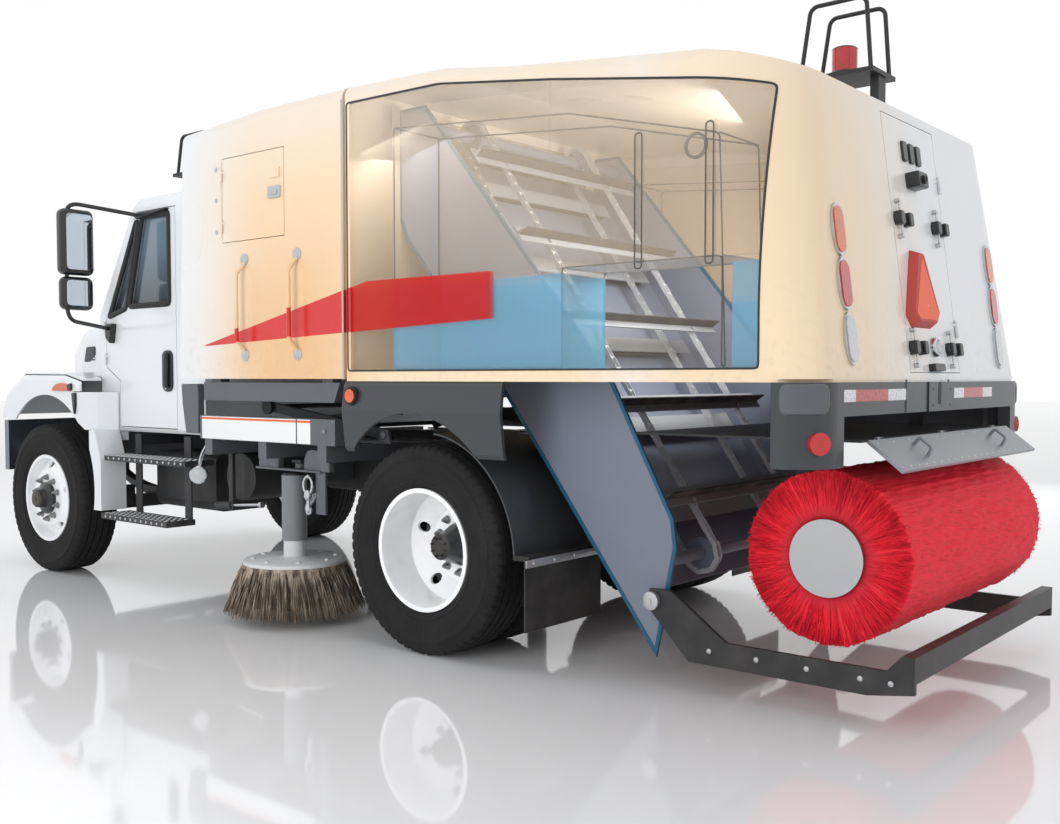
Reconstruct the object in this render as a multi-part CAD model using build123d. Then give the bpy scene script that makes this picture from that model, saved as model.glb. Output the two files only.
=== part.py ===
from build123d import *
import math
import os

os.makedirs("parts", exist_ok=True)

# Street sweeper truck with a front cab, a high dumping hopper, a chain elevator and a rear broom.
# Millimetres. +X runs forward, +Y to the driver's left, +Z up, with the ground at zero.

# Overall layout
wheelbase = 3656.0
front_overhang = 744.0
rear_overhang = 2290.0
overall_length = wheelbase + front_overhang + rear_overhang
front_axle_x = overall_length / 2 - front_overhang
rear_axle_x = front_axle_x - wheelbase
body_half_width = 1219.0
body_floor_z = 1330.0
swing_gap = 6.0
fit_gap = 0.3
pin_clearance = 0.05

# Wheels
tyre_radius = 508.0
tyre_width = 278.0
bead_radius = 286.0
flange_radius = 298.0
rim_width = 244.0
rim_wall = 10.0
track_half = 1074.0
dual_spacing = 330.0
stud_circle = 285.75
hub_radius = 108.0

# Ladder frame
rail_half_width = 430.0
rail_height = 260.0
rail_flange = 80.0
rail_wall = 8.0
rail_top_z = 980.0
rail_front = 610.0
rail_rear = -470.0
bumper_top_z = 1031.0
bumper_low_z = 672.0
axle_z = tyre_radius

# Cab
cab_half_width = 1000.0
cab_wall = 45.0
cab_floor_z = 991.0
cab_roof_z = 2500.0
cab_back = -1606.0
cowl_z = 1747.0
cowl_x = -393.0
roof_front = -800.0
door_front = -476.0
door_rear = -1300.0
belt_z = 1800.0

# Hopper and its lift
hopper_rear = 520.0
hopper_front = 1981.0
hopper_front_lean = 65.0
hopper_roof_z = 2748.0
hopper_roof_rear_z = 2790.0
hopper_wall = 20.0
lift_pin_x = 700.0
lift_pin_z = 1020.0
lift_span = 1040.0
lift_rise = 140.0
lift_bar = 28.0
lift_eye = 30.0
lift_pin_radius = 15.0
track_top_z = 985.0
platform_bottom_z = 1206.0
platform_top_z = 1310.0

# Body behind the hopper
body_front = 500.0
body_seam = -800.0
body_rear = -2030.0
body_wall = 20.0
rear_lean = 0.135

# Elevator
elevator_half_width = 860.0
elevator_plate = 8.0
sprocket_radius = 85.0
head_x = 330.0
head_z = 2628.0
foot_x = -1110.0
foot_z = 520.0
chain_y = 460.0
chain_width = 34.0
chain_depth = 24.0
flight_count = 10
flight_half_width = 700.0

# Rear broom
broom_x = -1900.0
broom_z = 622.0
broom_radius = 355.0
broom_core_radius = 155.0
broom_half_width = 840.0
arm_pin_x = -1140.0
arm_pin_z = 560.0

# Side brooms
side_pivot_x = 1400.0
side_pivot_y = 790.0
side_broom_x = 1130.0
side_broom_y = 1060.0
side_disc_radius = 280.0
side_disc_z = 330.0
side_tip_radius = 390.0
side_tip_z = 45.0


def ra(station):
    """Place along the truck, measured forward from the rear axle."""
    return rear_axle_x + station


def fa(station):
    """Place along the truck, measured forward from the front axle."""
    return front_axle_x + station


def block(x0, x1, y0, y1, z0, z1):
    """A plain bar or plate between two corners."""
    centre = Pos((x0 + x1) / 2, (y0 + y1) / 2, (z0 + z1) / 2)
    return centre * Box(abs(x1 - x0), abs(y1 - y0), abs(z1 - z0))


def side_plate(points, y0, y1):
    """A plate cut to an outline in X and Z."""
    outline = Polyline(*[(x, y0, z) for x, z in points], close=True)
    return extrude(make_face(outline), amount=y1 - y0, dir=(0, 1, 0))


def plan_plate(points, z0, z1):
    """A plate cut to an outline in X and Y."""
    outline = Polyline(*[(x, y, z0) for x, y in points], close=True)
    return extrude(make_face(outline), amount=z1 - z0, dir=(0, 0, 1))


def cross_plate(points, x0, x1):
    """A bar with a section in Y and Z that runs along the truck."""
    outline = Polyline(*[(x0, y, z) for y, z in points], close=True)
    return extrude(make_face(outline), amount=x1 - x0, dir=(1, 0, 0))


def rod(start, end, radius):
    """A round bar between two points."""
    line = Vector(*end) - Vector(*start)
    base = Plane(origin=start, z_dir=line)
    return base * Cylinder(radius, line.length, align=(Align.CENTER, Align.CENTER, Align.MIN))


def bent_tube(points, bend, radius):
    """A round tube along straight runs with rounded corners."""
    path = FilletPolyline(*points, radius=bend)
    section = Plane(origin=path @ 0, z_dir=path % 0) * Circle(radius)
    return sweep(section, path=path)


def turned(points, x, y, z, outward=1):
    """A turned part about a cross axle, from radius and offset pairs."""
    outline = Polyline(*[(r, outward * offset, 0) for r, offset in points], close=True)
    return Pos(x, y, z) * revolve(make_face(outline), Axis.Y)


def hinge_pin(at, way, foot, half, radius):
    """The fixed half of a hinge: a knuckle, its pin and an arm into the piece that carries it."""
    centre = Vector(*at)
    step = Vector(*way).normalized() * half
    knuckle_mid = centre - step * 0.5
    piece = rod(tuple(centre - step), tuple(centre), radius)
    piece += rod(tuple(centre - step), tuple(centre + step), radius * 0.5)
    piece += rod(tuple(knuckle_mid), (foot[0] - step.X / 2, foot[1] - step.Y / 2, foot[2] - step.Z / 2), radius * 0.7)
    return piece


def hinge_barrel(at, way, foot, half, radius):
    """The moving half of the same hinge: a barrel on the pin and an arm into the panel."""
    centre = Vector(*at)
    unit = Vector(*way).normalized()
    step = unit * half
    piece = rod(tuple(centre + unit * fit_gap), tuple(centre + step), radius)
    piece += rod(tuple(centre + step * 0.5), (foot[0] + step.X / 2, foot[1] + step.Y / 2, foot[2] + step.Z / 2),
                 radius * 0.7)
    return piece - rod(tuple(centre - step * 2), tuple(centre + step * 2), radius * 0.5 + pin_clearance)


def across(shape):
    """The same piece on the other side of the truck."""
    return mirror(shape, Plane.XZ)


def both(shape):
    """A piece and its mirror image, as two solids."""
    return [shape, across(shape)]


def save(node, *shapes):
    """Write one node from its solids."""
    solids = []
    for shape in shapes:
        solids += shape.solids()
    export_step(Compound(children=solids), "parts/" + node + ".step")


# Ladder frame: two open channels, cross tubes and pads for the cab
rail_in = rail_half_width - rail_flange
rail_web_in = rail_half_width - rail_wall
rail_bottom_z = rail_top_z - rail_height
rail_section = [
    (rail_half_width, rail_bottom_z),
    (rail_half_width, rail_top_z),
    (rail_in, rail_top_z),
    (rail_in, rail_top_z - rail_wall),
    (rail_web_in, rail_top_z - rail_wall),
    (rail_web_in, rail_bottom_z + rail_wall),
    (rail_in, rail_bottom_z + rail_wall),
    (rail_in, rail_bottom_z),
]
rail = cross_plate(rail_section, ra(rail_rear), fa(rail_front))
cross_tube_radius = 45.0
cross_tube_z = rail_bottom_z + 90.0
frame_parts = [rail, across(rail)]
for cross_x in (ra(rail_rear + 60), ra(620), ra(1500), ra(2450), fa(rail_front - 80)):
    frame_parts.append(rod((cross_x, -rail_web_in, cross_tube_z), (cross_x, rail_web_in, cross_tube_z), cross_tube_radius))
engine_bottom_z = rail_bottom_z + 2 * rail_wall + 30.0
for cross_x in (fa(-260), fa(300)):
    frame_parts.append(block(cross_x - 40, cross_x + 40, -rail_web_in, rail_web_in, rail_bottom_z + rail_wall, engine_bottom_z))
for pad_x in (fa(cab_back + 150), fa(cowl_x - 250)):
    pad = block(pad_x - 60, pad_x + 60, rail_in, rail_half_width, rail_top_z, cab_floor_z)
    frame_parts += both(pad)
tow_eye_radius = 22.0
tow_eye_plate = 25.0
tow_eye_x = fa(front_overhang - 80)
tow_eye_z = 632.0
tow_plate = side_plate(
    [(fa(rail_front - 120), rail_bottom_z), (fa(rail_front), rail_bottom_z), (fa(rail_front), bumper_low_z - 4),
     (tow_eye_x + 45, bumper_low_z - 4), (tow_eye_x + 45, tow_eye_z - 40), (tow_eye_x - 45, tow_eye_z - 40), (fa(rail_front - 120), rail_bottom_z - 40)],
    rail_half_width - tow_eye_plate, rail_half_width)
tow_plate -= rod((tow_eye_x, 0, tow_eye_z), (tow_eye_x, rail_half_width * 2, tow_eye_z), tow_eye_radius)
frame_parts += both(tow_plate)
frame = frame_parts[0]
for piece in frame_parts[1:]:
    frame = frame + piece
save("frame_rails", frame)

# Engine: one plain mass on two cross beams
engine_half_width = 300.0
engine = block(fa(-320), fa(360), -engine_half_width, engine_half_width, engine_bottom_z, 1400.0)
engine = chamfer(engine.edges().filter_by(Axis.X), 60.0)
save("engine_block", engine)

# Axles and leaf springs
spring_half_width = 38.0
spring_y = rail_half_width - rail_flange / 2
spring_leaf = 60.0


def leaf_spring(x, front_reach, rear_reach, seat_z):
    """An arched leaf pack with a hanger at each end, under one frame rail."""
    eye_z = rail_bottom_z - 60.0
    top = ThreePointArc((x + front_reach, 0, eye_z), (x, 0, seat_z + spring_leaf), (x - rear_reach, 0, eye_z))
    low = ThreePointArc((x - rear_reach, 0, eye_z - 18), (x, 0, seat_z), (x + front_reach, 0, eye_z - 18))
    front_end = Line(low @ 1, top @ 0)
    rear_end = Line(top @ 1, low @ 0)
    leaves = extrude(make_face([top, rear_end, low, front_end]), amount=2 * spring_half_width, dir=(0, 1, 0))
    leaves = Pos(0, spring_y - spring_half_width, 0) * leaves
    for end_x in (x + front_reach, x - rear_reach):
        leaves += block(end_x - 45, end_x + 45, spring_y - 46, spring_y + 46, eye_z - 30, rail_bottom_z)
    return leaves


kingpin_y = track_half - 184.0
kingpin_radius = 22.0
knuckle_half_height = 95.0
beam_z = axle_z - 75.0
seat_z = beam_z + 45.0
front_beam = cross_plate([(-560, beam_z - 45), (560, beam_z - 45), (560, beam_z + 45), (-560, beam_z + 45)],
                         fa(-45), fa(45))
for side in (1, -1):
    drop = cross_plate([(side * 550, beam_z - 45), (side * 660, beam_z - 45), (side * 730, axle_z - 60),
                        (side * (kingpin_y - 20), axle_z - 60), (side * (kingpin_y - 20), axle_z + 45),
                        (side * 550, axle_z + 45)], fa(-40), fa(40))
    boss = Pos(fa(0), side * kingpin_y, axle_z) * Cylinder(52, 2 * (knuckle_half_height - 27.0))
    front_beam += drop + boss
front_beam -= Pos(fa(0), kingpin_y, axle_z) * Cylinder(kingpin_radius + pin_clearance, 400)
front_beam -= Pos(fa(0), -kingpin_y, axle_z) * Cylinder(kingpin_radius + pin_clearance, 400)
front_spring = leaf_spring(fa(0), 430, 620, seat_z)
save("front_axle", front_beam, *both(front_spring))

rear_seat_z = axle_z + 75.0
axle_tube_radius = 75.0
disc_plane = track_half - dual_spacing / 2
rear_hub_bore = 45.0
rear_axle = rod((ra(0), -disc_plane + 90, axle_z), (ra(0), disc_plane - 90, axle_z), axle_tube_radius)
rear_axle += rod((ra(0), -disc_plane - 60, axle_z), (ra(0), disc_plane + 60, axle_z), rear_hub_bore - pin_clearance)
rear_axle += Pos(ra(0), 0, axle_z) * Sphere(205)
rear_axle += rod((ra(0), 0, axle_z), (ra(330), 0, axle_z + 20), 70)
rear_spring = leaf_spring(ra(0), 620, 420, rear_seat_z)
save("rear_axle", rear_axle, *both(rear_spring))

# Steering knuckles: a fork round the axle's end, a kingpin and a stub axle
stub_radius = 40.0
stub_reach = 105.0


def knuckle(side):
    """The knuckle on one side, turning about its kingpin."""
    y = side * kingpin_y
    fork = block(fa(-50), fa(50), y - side * 45, y + side * 85, axle_z - knuckle_half_height, axle_z + knuckle_half_height)
    slot_high = knuckle_half_height - 27.0 + swing_gap
    fork -= block(fa(-90), fa(90), y - side * 90, y + side * 58, axle_z - slot_high, axle_z + slot_high)
    fork += Pos(fa(0), y, axle_z) * Cylinder(kingpin_radius, 2 * knuckle_half_height)
    fork += rod((fa(0), y + side * 80, axle_z), (fa(0), side * (track_half + stub_reach), axle_z), stub_radius)
    return fork


save("knuckle_left", knuckle(1))
save("knuckle_right", knuckle(-1))

# Tyres: a round tread, bowed sidewalls and open beads
tread_half = tyre_width / 2 - 24.0
rim_lip = 12.0
bead_half = rim_width / 2 - rim_lip - fit_gap
bead_seat = bead_radius + fit_gap


def tyre(x, y):
    """One tyre about a cross axle."""
    half = tyre_width / 2
    shoulder = tyre_radius - 14.0
    middle = (bead_radius + shoulder) / 2
    outer = ThreePointArc((flange_radius + 1, bead_half, 0), (middle, half, 0), (shoulder, half - 14, 0))
    inner = ThreePointArc((shoulder, 14 - half, 0), (middle, -half, 0), (flange_radius + 1, -bead_half, 0))
    loop = [
        outer,
        Line(outer @ 1, (tyre_radius, tread_half)),
        Line((tyre_radius, tread_half), (tyre_radius, -tread_half)),
        Line((tyre_radius, -tread_half), inner @ 0),
        inner,
        Line(inner @ 1, (bead_seat, -bead_half)),
        Line((bead_seat, -bead_half), (bead_seat, bead_half)),
        Line((bead_seat, bead_half), outer @ 0),
    ]
    return Pos(x, y, axle_z) * revolve(make_face(loop), Axis.Y)


disc_thick = 14.0


# Disc wheels: a flanged rim, a dished disc with hand holes, and a hub
def wheel(x, y, outward, disc_offset, hand_holes):
    """One rim and disc. The disc bolts up at disc_offset from the rim's middle plane."""
    half = rim_width / 2
    rim = turned(
        [(bead_radius - rim_wall, -half), (flange_radius, -half), (flange_radius, rim_lip - half),
         (bead_radius, rim_lip - half), (bead_radius, half - rim_lip), (flange_radius, half - rim_lip),
         (flange_radius, half), (bead_radius - rim_wall, half)],
        x, y, axle_z, outward)
    dish = disc_offset - 70.0
    barrel_in = bead_radius - rim_wall
    disc = turned(
        [(hub_radius, disc_offset), (188, disc_offset), (barrel_in, dish), (barrel_in, dish - disc_thick),
         (182, disc_offset - disc_thick), (hub_radius, disc_offset - disc_thick)],
        x, y, axle_z, outward)
    for turn in range(hand_holes):
        angle = math.radians(360.0 * turn / hand_holes + 18)
        hole_x = x + 228 * math.cos(angle)
        hole_z = axle_z + 228 * math.sin(angle)
        disc -= rod((hole_x, y - 200, hole_z), (hole_x, y + 200, hole_z), 27)
    return rim + disc


def hub(x, y, side, inner, flange, outer, bore, depth):
    """A hub on its axle end: an inner barrel, a flange behind the disc, and a nose with its cap."""
    barrel = turned([(0, outer), (62, outer), (70, outer - 30), (hub_radius - fit_gap, flange + 50),
                     (hub_radius - fit_gap, flange + 15), (hub_radius + 50, flange + 15),
                     (hub_radius + 50, flange), (80, flange), (80, inner), (0, inner)], x, y, axle_z, side)
    barrel -= rod((x, y + side * (inner - 10), axle_z), (x, y + side * depth, axle_z), bore)
    return barrel


front_disc = 112.0
front_flange = front_disc - disc_thick - 15.0
for side, word in ((1, "left"), (-1, "right")):
    y = side * track_half
    save("tyre_front_" + word, tyre(fa(0), y))
    front_wheel = wheel(fa(0), y, side, front_disc, 5)
    front_hub = hub(fa(0), y, side, 0, front_flange, front_disc + 70, stub_radius + pin_clearance, stub_reach + 1)
    save("wheel_front_" + word, front_wheel, front_hub)
    outer = wheel(ra(0), y, -side, dual_spacing / 2, 5)
    inner = wheel(ra(0), y - side * dual_spacing, side, dual_spacing / 2, 5)
    rear_hub = hub(ra(0), side * disc_plane, side, -70, -29, 150, rear_hub_bore, 61)
    save("tyres_rear_" + word, tyre(ra(0), y), tyre(ra(0), y - side * dual_spacing))
    save("wheels_rear_" + word, outer, inner, rear_hub)

# Cab shell: a pressed box with sloping screen posts, open windows and door openings
cab_outline = [
    (fa(cab_back), cab_floor_z),
    (fa(door_front + 60), cab_floor_z),
    (fa(cowl_x), cowl_z),
    (fa(roof_front), cab_roof_z - 110),
    (fa(roof_front - 90), cab_roof_z),
    (fa(cab_back + 120), cab_roof_z),
    (fa(cab_back), cab_roof_z - 90),
]
cab_inner = [
    (fa(cab_back) + cab_wall, cab_floor_z + cab_wall),
    (fa(door_front + 60) - cab_wall, cab_floor_z + cab_wall),
    (fa(cowl_x) - cab_wall, cowl_z - 10),
    (fa(roof_front) - cab_wall, cab_roof_z - 130),
    (fa(roof_front - 90) - cab_wall / 2, cab_roof_z - cab_wall),
    (fa(cab_back + 120) + cab_wall / 2, cab_roof_z - cab_wall),
    (fa(cab_back) + cab_wall, cab_roof_z - 110),
]
door_low_front = -640.0
door_step_z = 1320.0
door_outline = [
    (fa(door_low_front), cab_floor_z + 25),
    (fa(door_low_front), door_step_z),
    (fa(door_front), door_step_z + 90),
    (fa(door_front), cowl_z - 30),
    (fa(roof_front - 70), cab_roof_z - 100),
    (fa(door_rear), cab_roof_z - 100),
    (fa(door_rear), cab_floor_z + 25),
]
door_opening = [
    (fa(door_low_front) + swing_gap, cab_floor_z + 25 - swing_gap),
    (fa(door_low_front) + swing_gap, door_step_z - swing_gap),
    (fa(door_front) + swing_gap, door_step_z + 90 - swing_gap),
    (fa(door_front) + swing_gap, cowl_z - 27),
    (fa(roof_front - 70) + swing_gap, cab_roof_z - 100 + swing_gap),
    (fa(door_rear) - swing_gap, cab_roof_z - 100 + swing_gap),
    (fa(door_rear) - swing_gap, cab_floor_z + 25 - swing_gap),
]
cab = side_plate(cab_outline, -cab_half_width, cab_half_width)
roof_edges = cab.edges().filter_by(Axis.X).group_by(Axis.Z)[-1]
cab = fillet(roof_edges, 70.0)
cab -= side_plate(cab_inner, cab_wall - cab_half_width, cab_half_width - cab_wall)
cab -= side_plate(door_opening, -cab_half_width - 1, cab_half_width + 1)

door_hinge_y = cab_half_width + 14.0
door_hinge_half = 40.0
door_hinge_radius = 10.0
door_hinge_z = (1460.0, 1670.0)
for hinge_height in door_hinge_z:
    for side in (1, -1):
        at = (fa(door_front), side * door_hinge_y, hinge_height)
        foot = (fa(door_front) + 22, side * (cab_half_width - 14), hinge_height)
        cab += hinge_pin(at, (0, 0, 1), foot, door_hinge_half, door_hinge_radius)

# The screen opening is cut square to the slope of the posts
screen_run = Vector(fa(cowl_x), 0, cowl_z) - Vector(fa(roof_front), 0, cab_roof_z - 110)
screen_length = screen_run.length
screen_plane = Plane(origin=(fa((cowl_x + roof_front) / 2), 0, (cowl_z + cab_roof_z - 110) / 2),
                     x_dir=(0, 1, 0), z_dir=(-screen_run.Z, 0, screen_run.X))
screen_half = cab_half_width - 90.0
screen_hole = screen_plane * Box(2 * screen_half, screen_length - 130, 160)
cab -= screen_hole
screen = screen_plane * Pos(0, 0, 0) * Box(2 * screen_half - 1, screen_length - 131, 6)

# Quarter panels close the wheel arches behind the tyres and curve in to the door
arch_radius = 620.0
arch_z = 600.0
fender_half_width = body_half_width - 24.0
arch = rod((fa(0), 0, arch_z), (fa(0), 2000, arch_z), arch_radius)
quarter_top_z = 1240.0
quarter_low_z = 470.0
quarter_in = cab_half_width + swing_gap
quarter = plan_plate([(fa(-380), quarter_in), (fa(-380), fender_half_width), (fa(-440), fender_half_width),
                      (fa(-560), 1120), (fa(-628), quarter_in + 10), (fa(-628), quarter_in)],
                     cab_floor_z, quarter_top_z)
quarter += side_plate([(fa(-700), quarter_low_z), (fa(-560), quarter_low_z), (fa(-560), cab_floor_z + 1),
                       (fa(-628), cab_floor_z + 1), (fa(-700), 800)], quarter_in, fender_half_width - 10)
quarter += block(fa(-628), fa(-560), cab_half_width - 60, quarter_in, 920, cab_floor_z)
quarter -= arch
save("cab_shell", cab, *both(quarter))
save("windshield", screen)

# Seats and dash, seen through the glass
seat_y = 520.0
seat_base = block(fa(-1330), fa(-850), seat_y - 240, seat_y + 240, cab_floor_z + cab_wall, 1420)
seat_back = side_plate([(fa(-1330), 1420), (fa(-1200), 1420), (fa(-1330), 2130), (fa(-1450), 2130)],
                       seat_y - 230, seat_y + 230)
seat = seat_base + seat_back
dash = side_plate([(fa(-454.5), 1250), (fa(-440.5), 1690), (fa(-600), 1690), (fa(-700), 1560), (fa(-640), 1250)],
                  -cab_half_width + cab_wall + 40, cab_half_width - cab_wall - 40)
wheel_plane = Plane(origin=(fa(-745), seat_y, 1640), z_dir=(-0.8, 0, 0.6))
steering_wheel = wheel_plane * Torus(205, 14)
steering_wheel += wheel_plane * Box(400, 40, 14)
steering_wheel += rod((fa(-745), seat_y, 1640), (fa(-640), seat_y, 1561), 28)
save("cab_interior", *both(seat), dash + steering_wheel)

# Doors: a pressed skin and window frame, hinged at the front edge
door_thick = 50.0
window_outline = [
    (fa(-765), belt_z),
    (fa(-935), 2372),
    (fa(door_rear + 65), 2372),
    (fa(door_rear + 65), belt_z),
]
vent_outline = [
    (fa(-515), belt_z - 58),
    (fa(-545), belt_z - 20),
    (fa(-860), 2340),
    (fa(-885), 2340),
    (fa(-725), belt_z - 10),
]


def door(side):
    """One door with its two window holes, in its outline."""
    panel = side_plate(door_outline, side * (cab_half_width - door_thick), side * cab_half_width)
    for outline in (window_outline, vent_outline):
        panel -= side_plate(outline, side * (cab_half_width - 90), side * (cab_half_width + 10))
    handle_x = fa(-1203)
    handle = block(handle_x - 16, handle_x + 16, side * cab_half_width, side * (cab_half_width + 30), 1290, 1480)
    panel += handle
    for hinge_height in door_hinge_z:
        at = (fa(door_front), side * door_hinge_y, hinge_height)
        foot = (fa(door_front) - 22, side * (cab_half_width - 14), hinge_height)
        panel += hinge_barrel(at, (0, 0, 1), foot, door_hinge_half, door_hinge_radius)
    return panel


def door_glass(side):
    """The two panes of one door, set in its middle."""
    panes = []
    for outline in (window_outline, vent_outline):
        panes.append(side_plate(outline, side * (cab_half_width - 28), side * (cab_half_width - 22)))
    return panes


mirror_x = fa(-700)
mirror_y = 1330.0


def mirror_set(side):
    """Two mirror heads on a bent tube, hung from the door."""
    heads = block(mirror_x - 55, mirror_x + 55, side * (mirror_y - 110), side * (mirror_y + 110), 1985, 2400)
    heads += block(mirror_x - 50, mirror_x + 50, side * (mirror_y - 100), side * (mirror_y + 100), 1765, 1975)
    door_face = side * cab_half_width
    root = side * (cab_half_width + 22)
    tube = bent_tube([(fa(-905), root, 2380), (mirror_x, side * (mirror_y + 60), 2440),
                      (mirror_x, side * (mirror_y + 60), 1700), (fa(-560), root, 1660)], 60, 13)
    feet = block(fa(-930), fa(-880), door_face, side * (cab_half_width + 30), 2378, 2398)
    feet += block(fa(-590), fa(-530), door_face, side * (cab_half_width + 30), 1640, 1680)
    return heads + tube + feet


for side, word in ((1, "left"), (-1, "right")):
    save("door_" + word, door(side))
    save("door_glass_" + word, *door_glass(side))
    save("mirror_" + word, mirror_set(side))

# Hood: a tapered nose and two fenders in one moulding that tips forward about its nose
hood_wall = 14.0
hood_rear = cowl_x + 20.0
hinge_x = front_overhang - 60.0
hinge_z = 1060.0
nose_bottom_z = 1045.0
nose_front = hinge_x - 6.0
# columns: station from the front axle, half width, lowest and highest point
nose_sections = [
    (hood_rear, 880, 1250, 1742),
    (220, 800, 1045, 1690),
    (480, 720, nose_bottom_z, 1580),
    (nose_front, 610, nose_bottom_z, 1400),
]
fender_outline = [
    (fa(-470), quarter_top_z + swing_gap),
    (fa(-470), 1330),
    (fa(-260), 1372),
    (fa(320), 1376),
    (fa(530), 1270),
    (fa(625), 1085),
    (fa(625), nose_bottom_z),
    (fa(-380), nose_bottom_z),
    (fa(-380), quarter_top_z + swing_gap),
]


def nose_form(inset):
    """The nose's outer form, or its hollow when inset by the wall."""
    faces = []
    for station, half, low, high in nose_sections:
        bottom = low - 60 if inset else low
        plane = Plane.YZ.offset(fa(station) - inset)
        section = RectangleRounded(2 * (half - inset), high - inset - bottom, 90 - inset)
        faces.append(plane * Pos(0, (high - inset + bottom) / 2) * section)
    return loft(faces, ruled=True)


fender = side_plate(fender_outline, 560, fender_half_width)
shoulder = fender.edges().filter_by(lambda edge: edge.center().Z > 1300 and edge.center().Y > fender_half_width - 1)
fender = fillet(shoulder, 60.0)
fender_hollow = side_plate([(x, z - hood_wall) for x, z in fender_outline], 500, fender_half_width - hood_wall)
hood_outer = nose_form(0) + fender + across(fender)
hood_inner = nose_form(hood_wall) + fender_hollow + across(fender_hollow)
hood = hood_outer - hood_inner - arch - across(arch)
hood -= block(fa(-600), fa(-380), -1300, 1300, 1000, quarter_top_z + swing_gap)
hood -= block(fa(-600), fa(hood_rear), -cab_half_width - 40, cab_half_width + 40, 1000, 1800)
hood_hinge_radius = 12.0
hood_hinge_half = 50.0
relief = hood_hinge_radius + swing_gap
for hinge_y in (-300, 300):
    at = (fa(hinge_x), hinge_y, hinge_z)
    hood -= rod((at[0], hinge_y - 60, hinge_z), (at[0], hinge_y + 60, hinge_z), relief)
    hood -= block(at[0] - relief, at[0] + 2, hinge_y - 60, hinge_y + 60, nose_bottom_z - 5, hinge_z)
    hood += hinge_barrel(at, (0, 1, 0), (fa(nose_front) - 8, hinge_y, hinge_z + 26), hood_hinge_half, hood_hinge_radius)
save("hood", hood)

# Grille: a frame with upright bars on the nose's face, and a lamp on each side
grille_z = (nose_bottom_z + 1400) / 2
grille_bars = [block(fa(nose_front), fa(nose_front) + 14, -330, 330, 1090, 1108),
               block(fa(nose_front), fa(nose_front) + 14, -330, 330, 1330, 1355)]
for step in range(-4, 5):
    grille_bars.append(block(fa(nose_front), fa(nose_front) + 14, step * 80 - 10, step * 80 + 10, 1098, 1340))
grille = grille_bars[0]
for bar in grille_bars[1:]:
    grille += bar
lamp = block(fa(nose_front), fa(nose_front) + 12, 380, 540, 1110, 1300)
save("grille", grille, *both(lamp))

# Front bumper: a swept beam with turned-back ends
bumper_end = front_overhang - 110.0
bumper_arc = ThreePointArc((fa(bumper_end), -1180, 0), (fa(front_overhang), 0, 0), (fa(bumper_end), 1180, 0))
bumper_back = ThreePointArc((fa(bumper_end - 60), 1180, 0), (fa(front_overhang - 60), 0, 0), (fa(bumper_end - 60), -1180, 0))
bumper_face = make_face([bumper_arc, Line(bumper_arc @ 1, bumper_back @ 0), bumper_back, Line(bumper_back @ 1, bumper_arc @ 0)])
bumper = Pos(0, 0, bumper_low_z) * extrude(bumper_face, amount=bumper_top_z - bumper_low_z, dir=(0, 0, 1))
bumper_mount = block(fa(rail_front), fa(front_overhang - 58), rail_in, rail_half_width, rail_bottom_z + 5, rail_top_z - 5)
bumper += bumper_mount + across(bumper_mount)
for hinge_y in (-300, 300):
    at = (fa(hinge_x), hinge_y, hinge_z)
    foot = (fa(hinge_x) + 24, hinge_y, bumper_top_z - 12)
    bumper += hinge_pin(at, (0, 1, 0), foot, hood_hinge_half, hood_hinge_radius)
save("front_bumper", bumper)

# Cab steps: perforated treads on drop brackets, with tanks and a battery box behind them
step_out = body_half_width - 20.0
step_rear = -1640.0


def steps(side):
    """Two treads and two drop brackets on one side."""
    upper = block(fa(step_rear), fa(-720), side * (step_out - 230), side * (step_out - 30), 800, 835)
    lower = block(fa(step_rear + 160), fa(-725), side * (step_out - 200), side * step_out, 425, 460)
    pieces = upper + lower
    for x in (fa(-860), fa(step_rear + 220)):
        pieces += side_plate([(x - 35, 460), (x + 35, 460), (x + 35, 970), (x - 35, 970)],
                             side * (step_out - 200), side * (step_out - 190))
        pieces += block(x - 30, x + 30, side * rail_half_width, side * (step_out - 190), 900, 970)
    return pieces


save("cab_steps", steps(1), steps(-1))
tank_radius = 140.0
air_tank = rod((ra(1700), 480, 750), (ra(1700), 1000, 750), tank_radius)
air_tank += block(ra(1660), ra(1740), rail_half_width, 490, 730, 800)
fuel_tank = block(fa(-1560), fa(-900), 520, 900, 500, 860)
fuel_tank = fillet(fuel_tank.edges().filter_by(Axis.X), 60.0)
fuel_tank += block(fa(-1480), fa(-1420), rail_half_width, 530, 730, 800)
fuel_tank += block(fa(-1040), fa(-980), rail_half_width, 530, 730, 800)
save("tanks_under", air_tank, *both(fuel_tank))

# Body: two roof sections, a leaning rear wall with rounded corners, and a cut-away left side
# columns: station from the rear axle, height of the roof's edge
roof_line = [(body_front, 2790), (-150, 2770), (-527, 2712), (body_seam, 2680), (-1542, 2600), (-1850, 2525)]
corner_low = 150.0
corner_high = 430.0
body_top_z = 2830.0
roof_corner = 55.0


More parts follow.
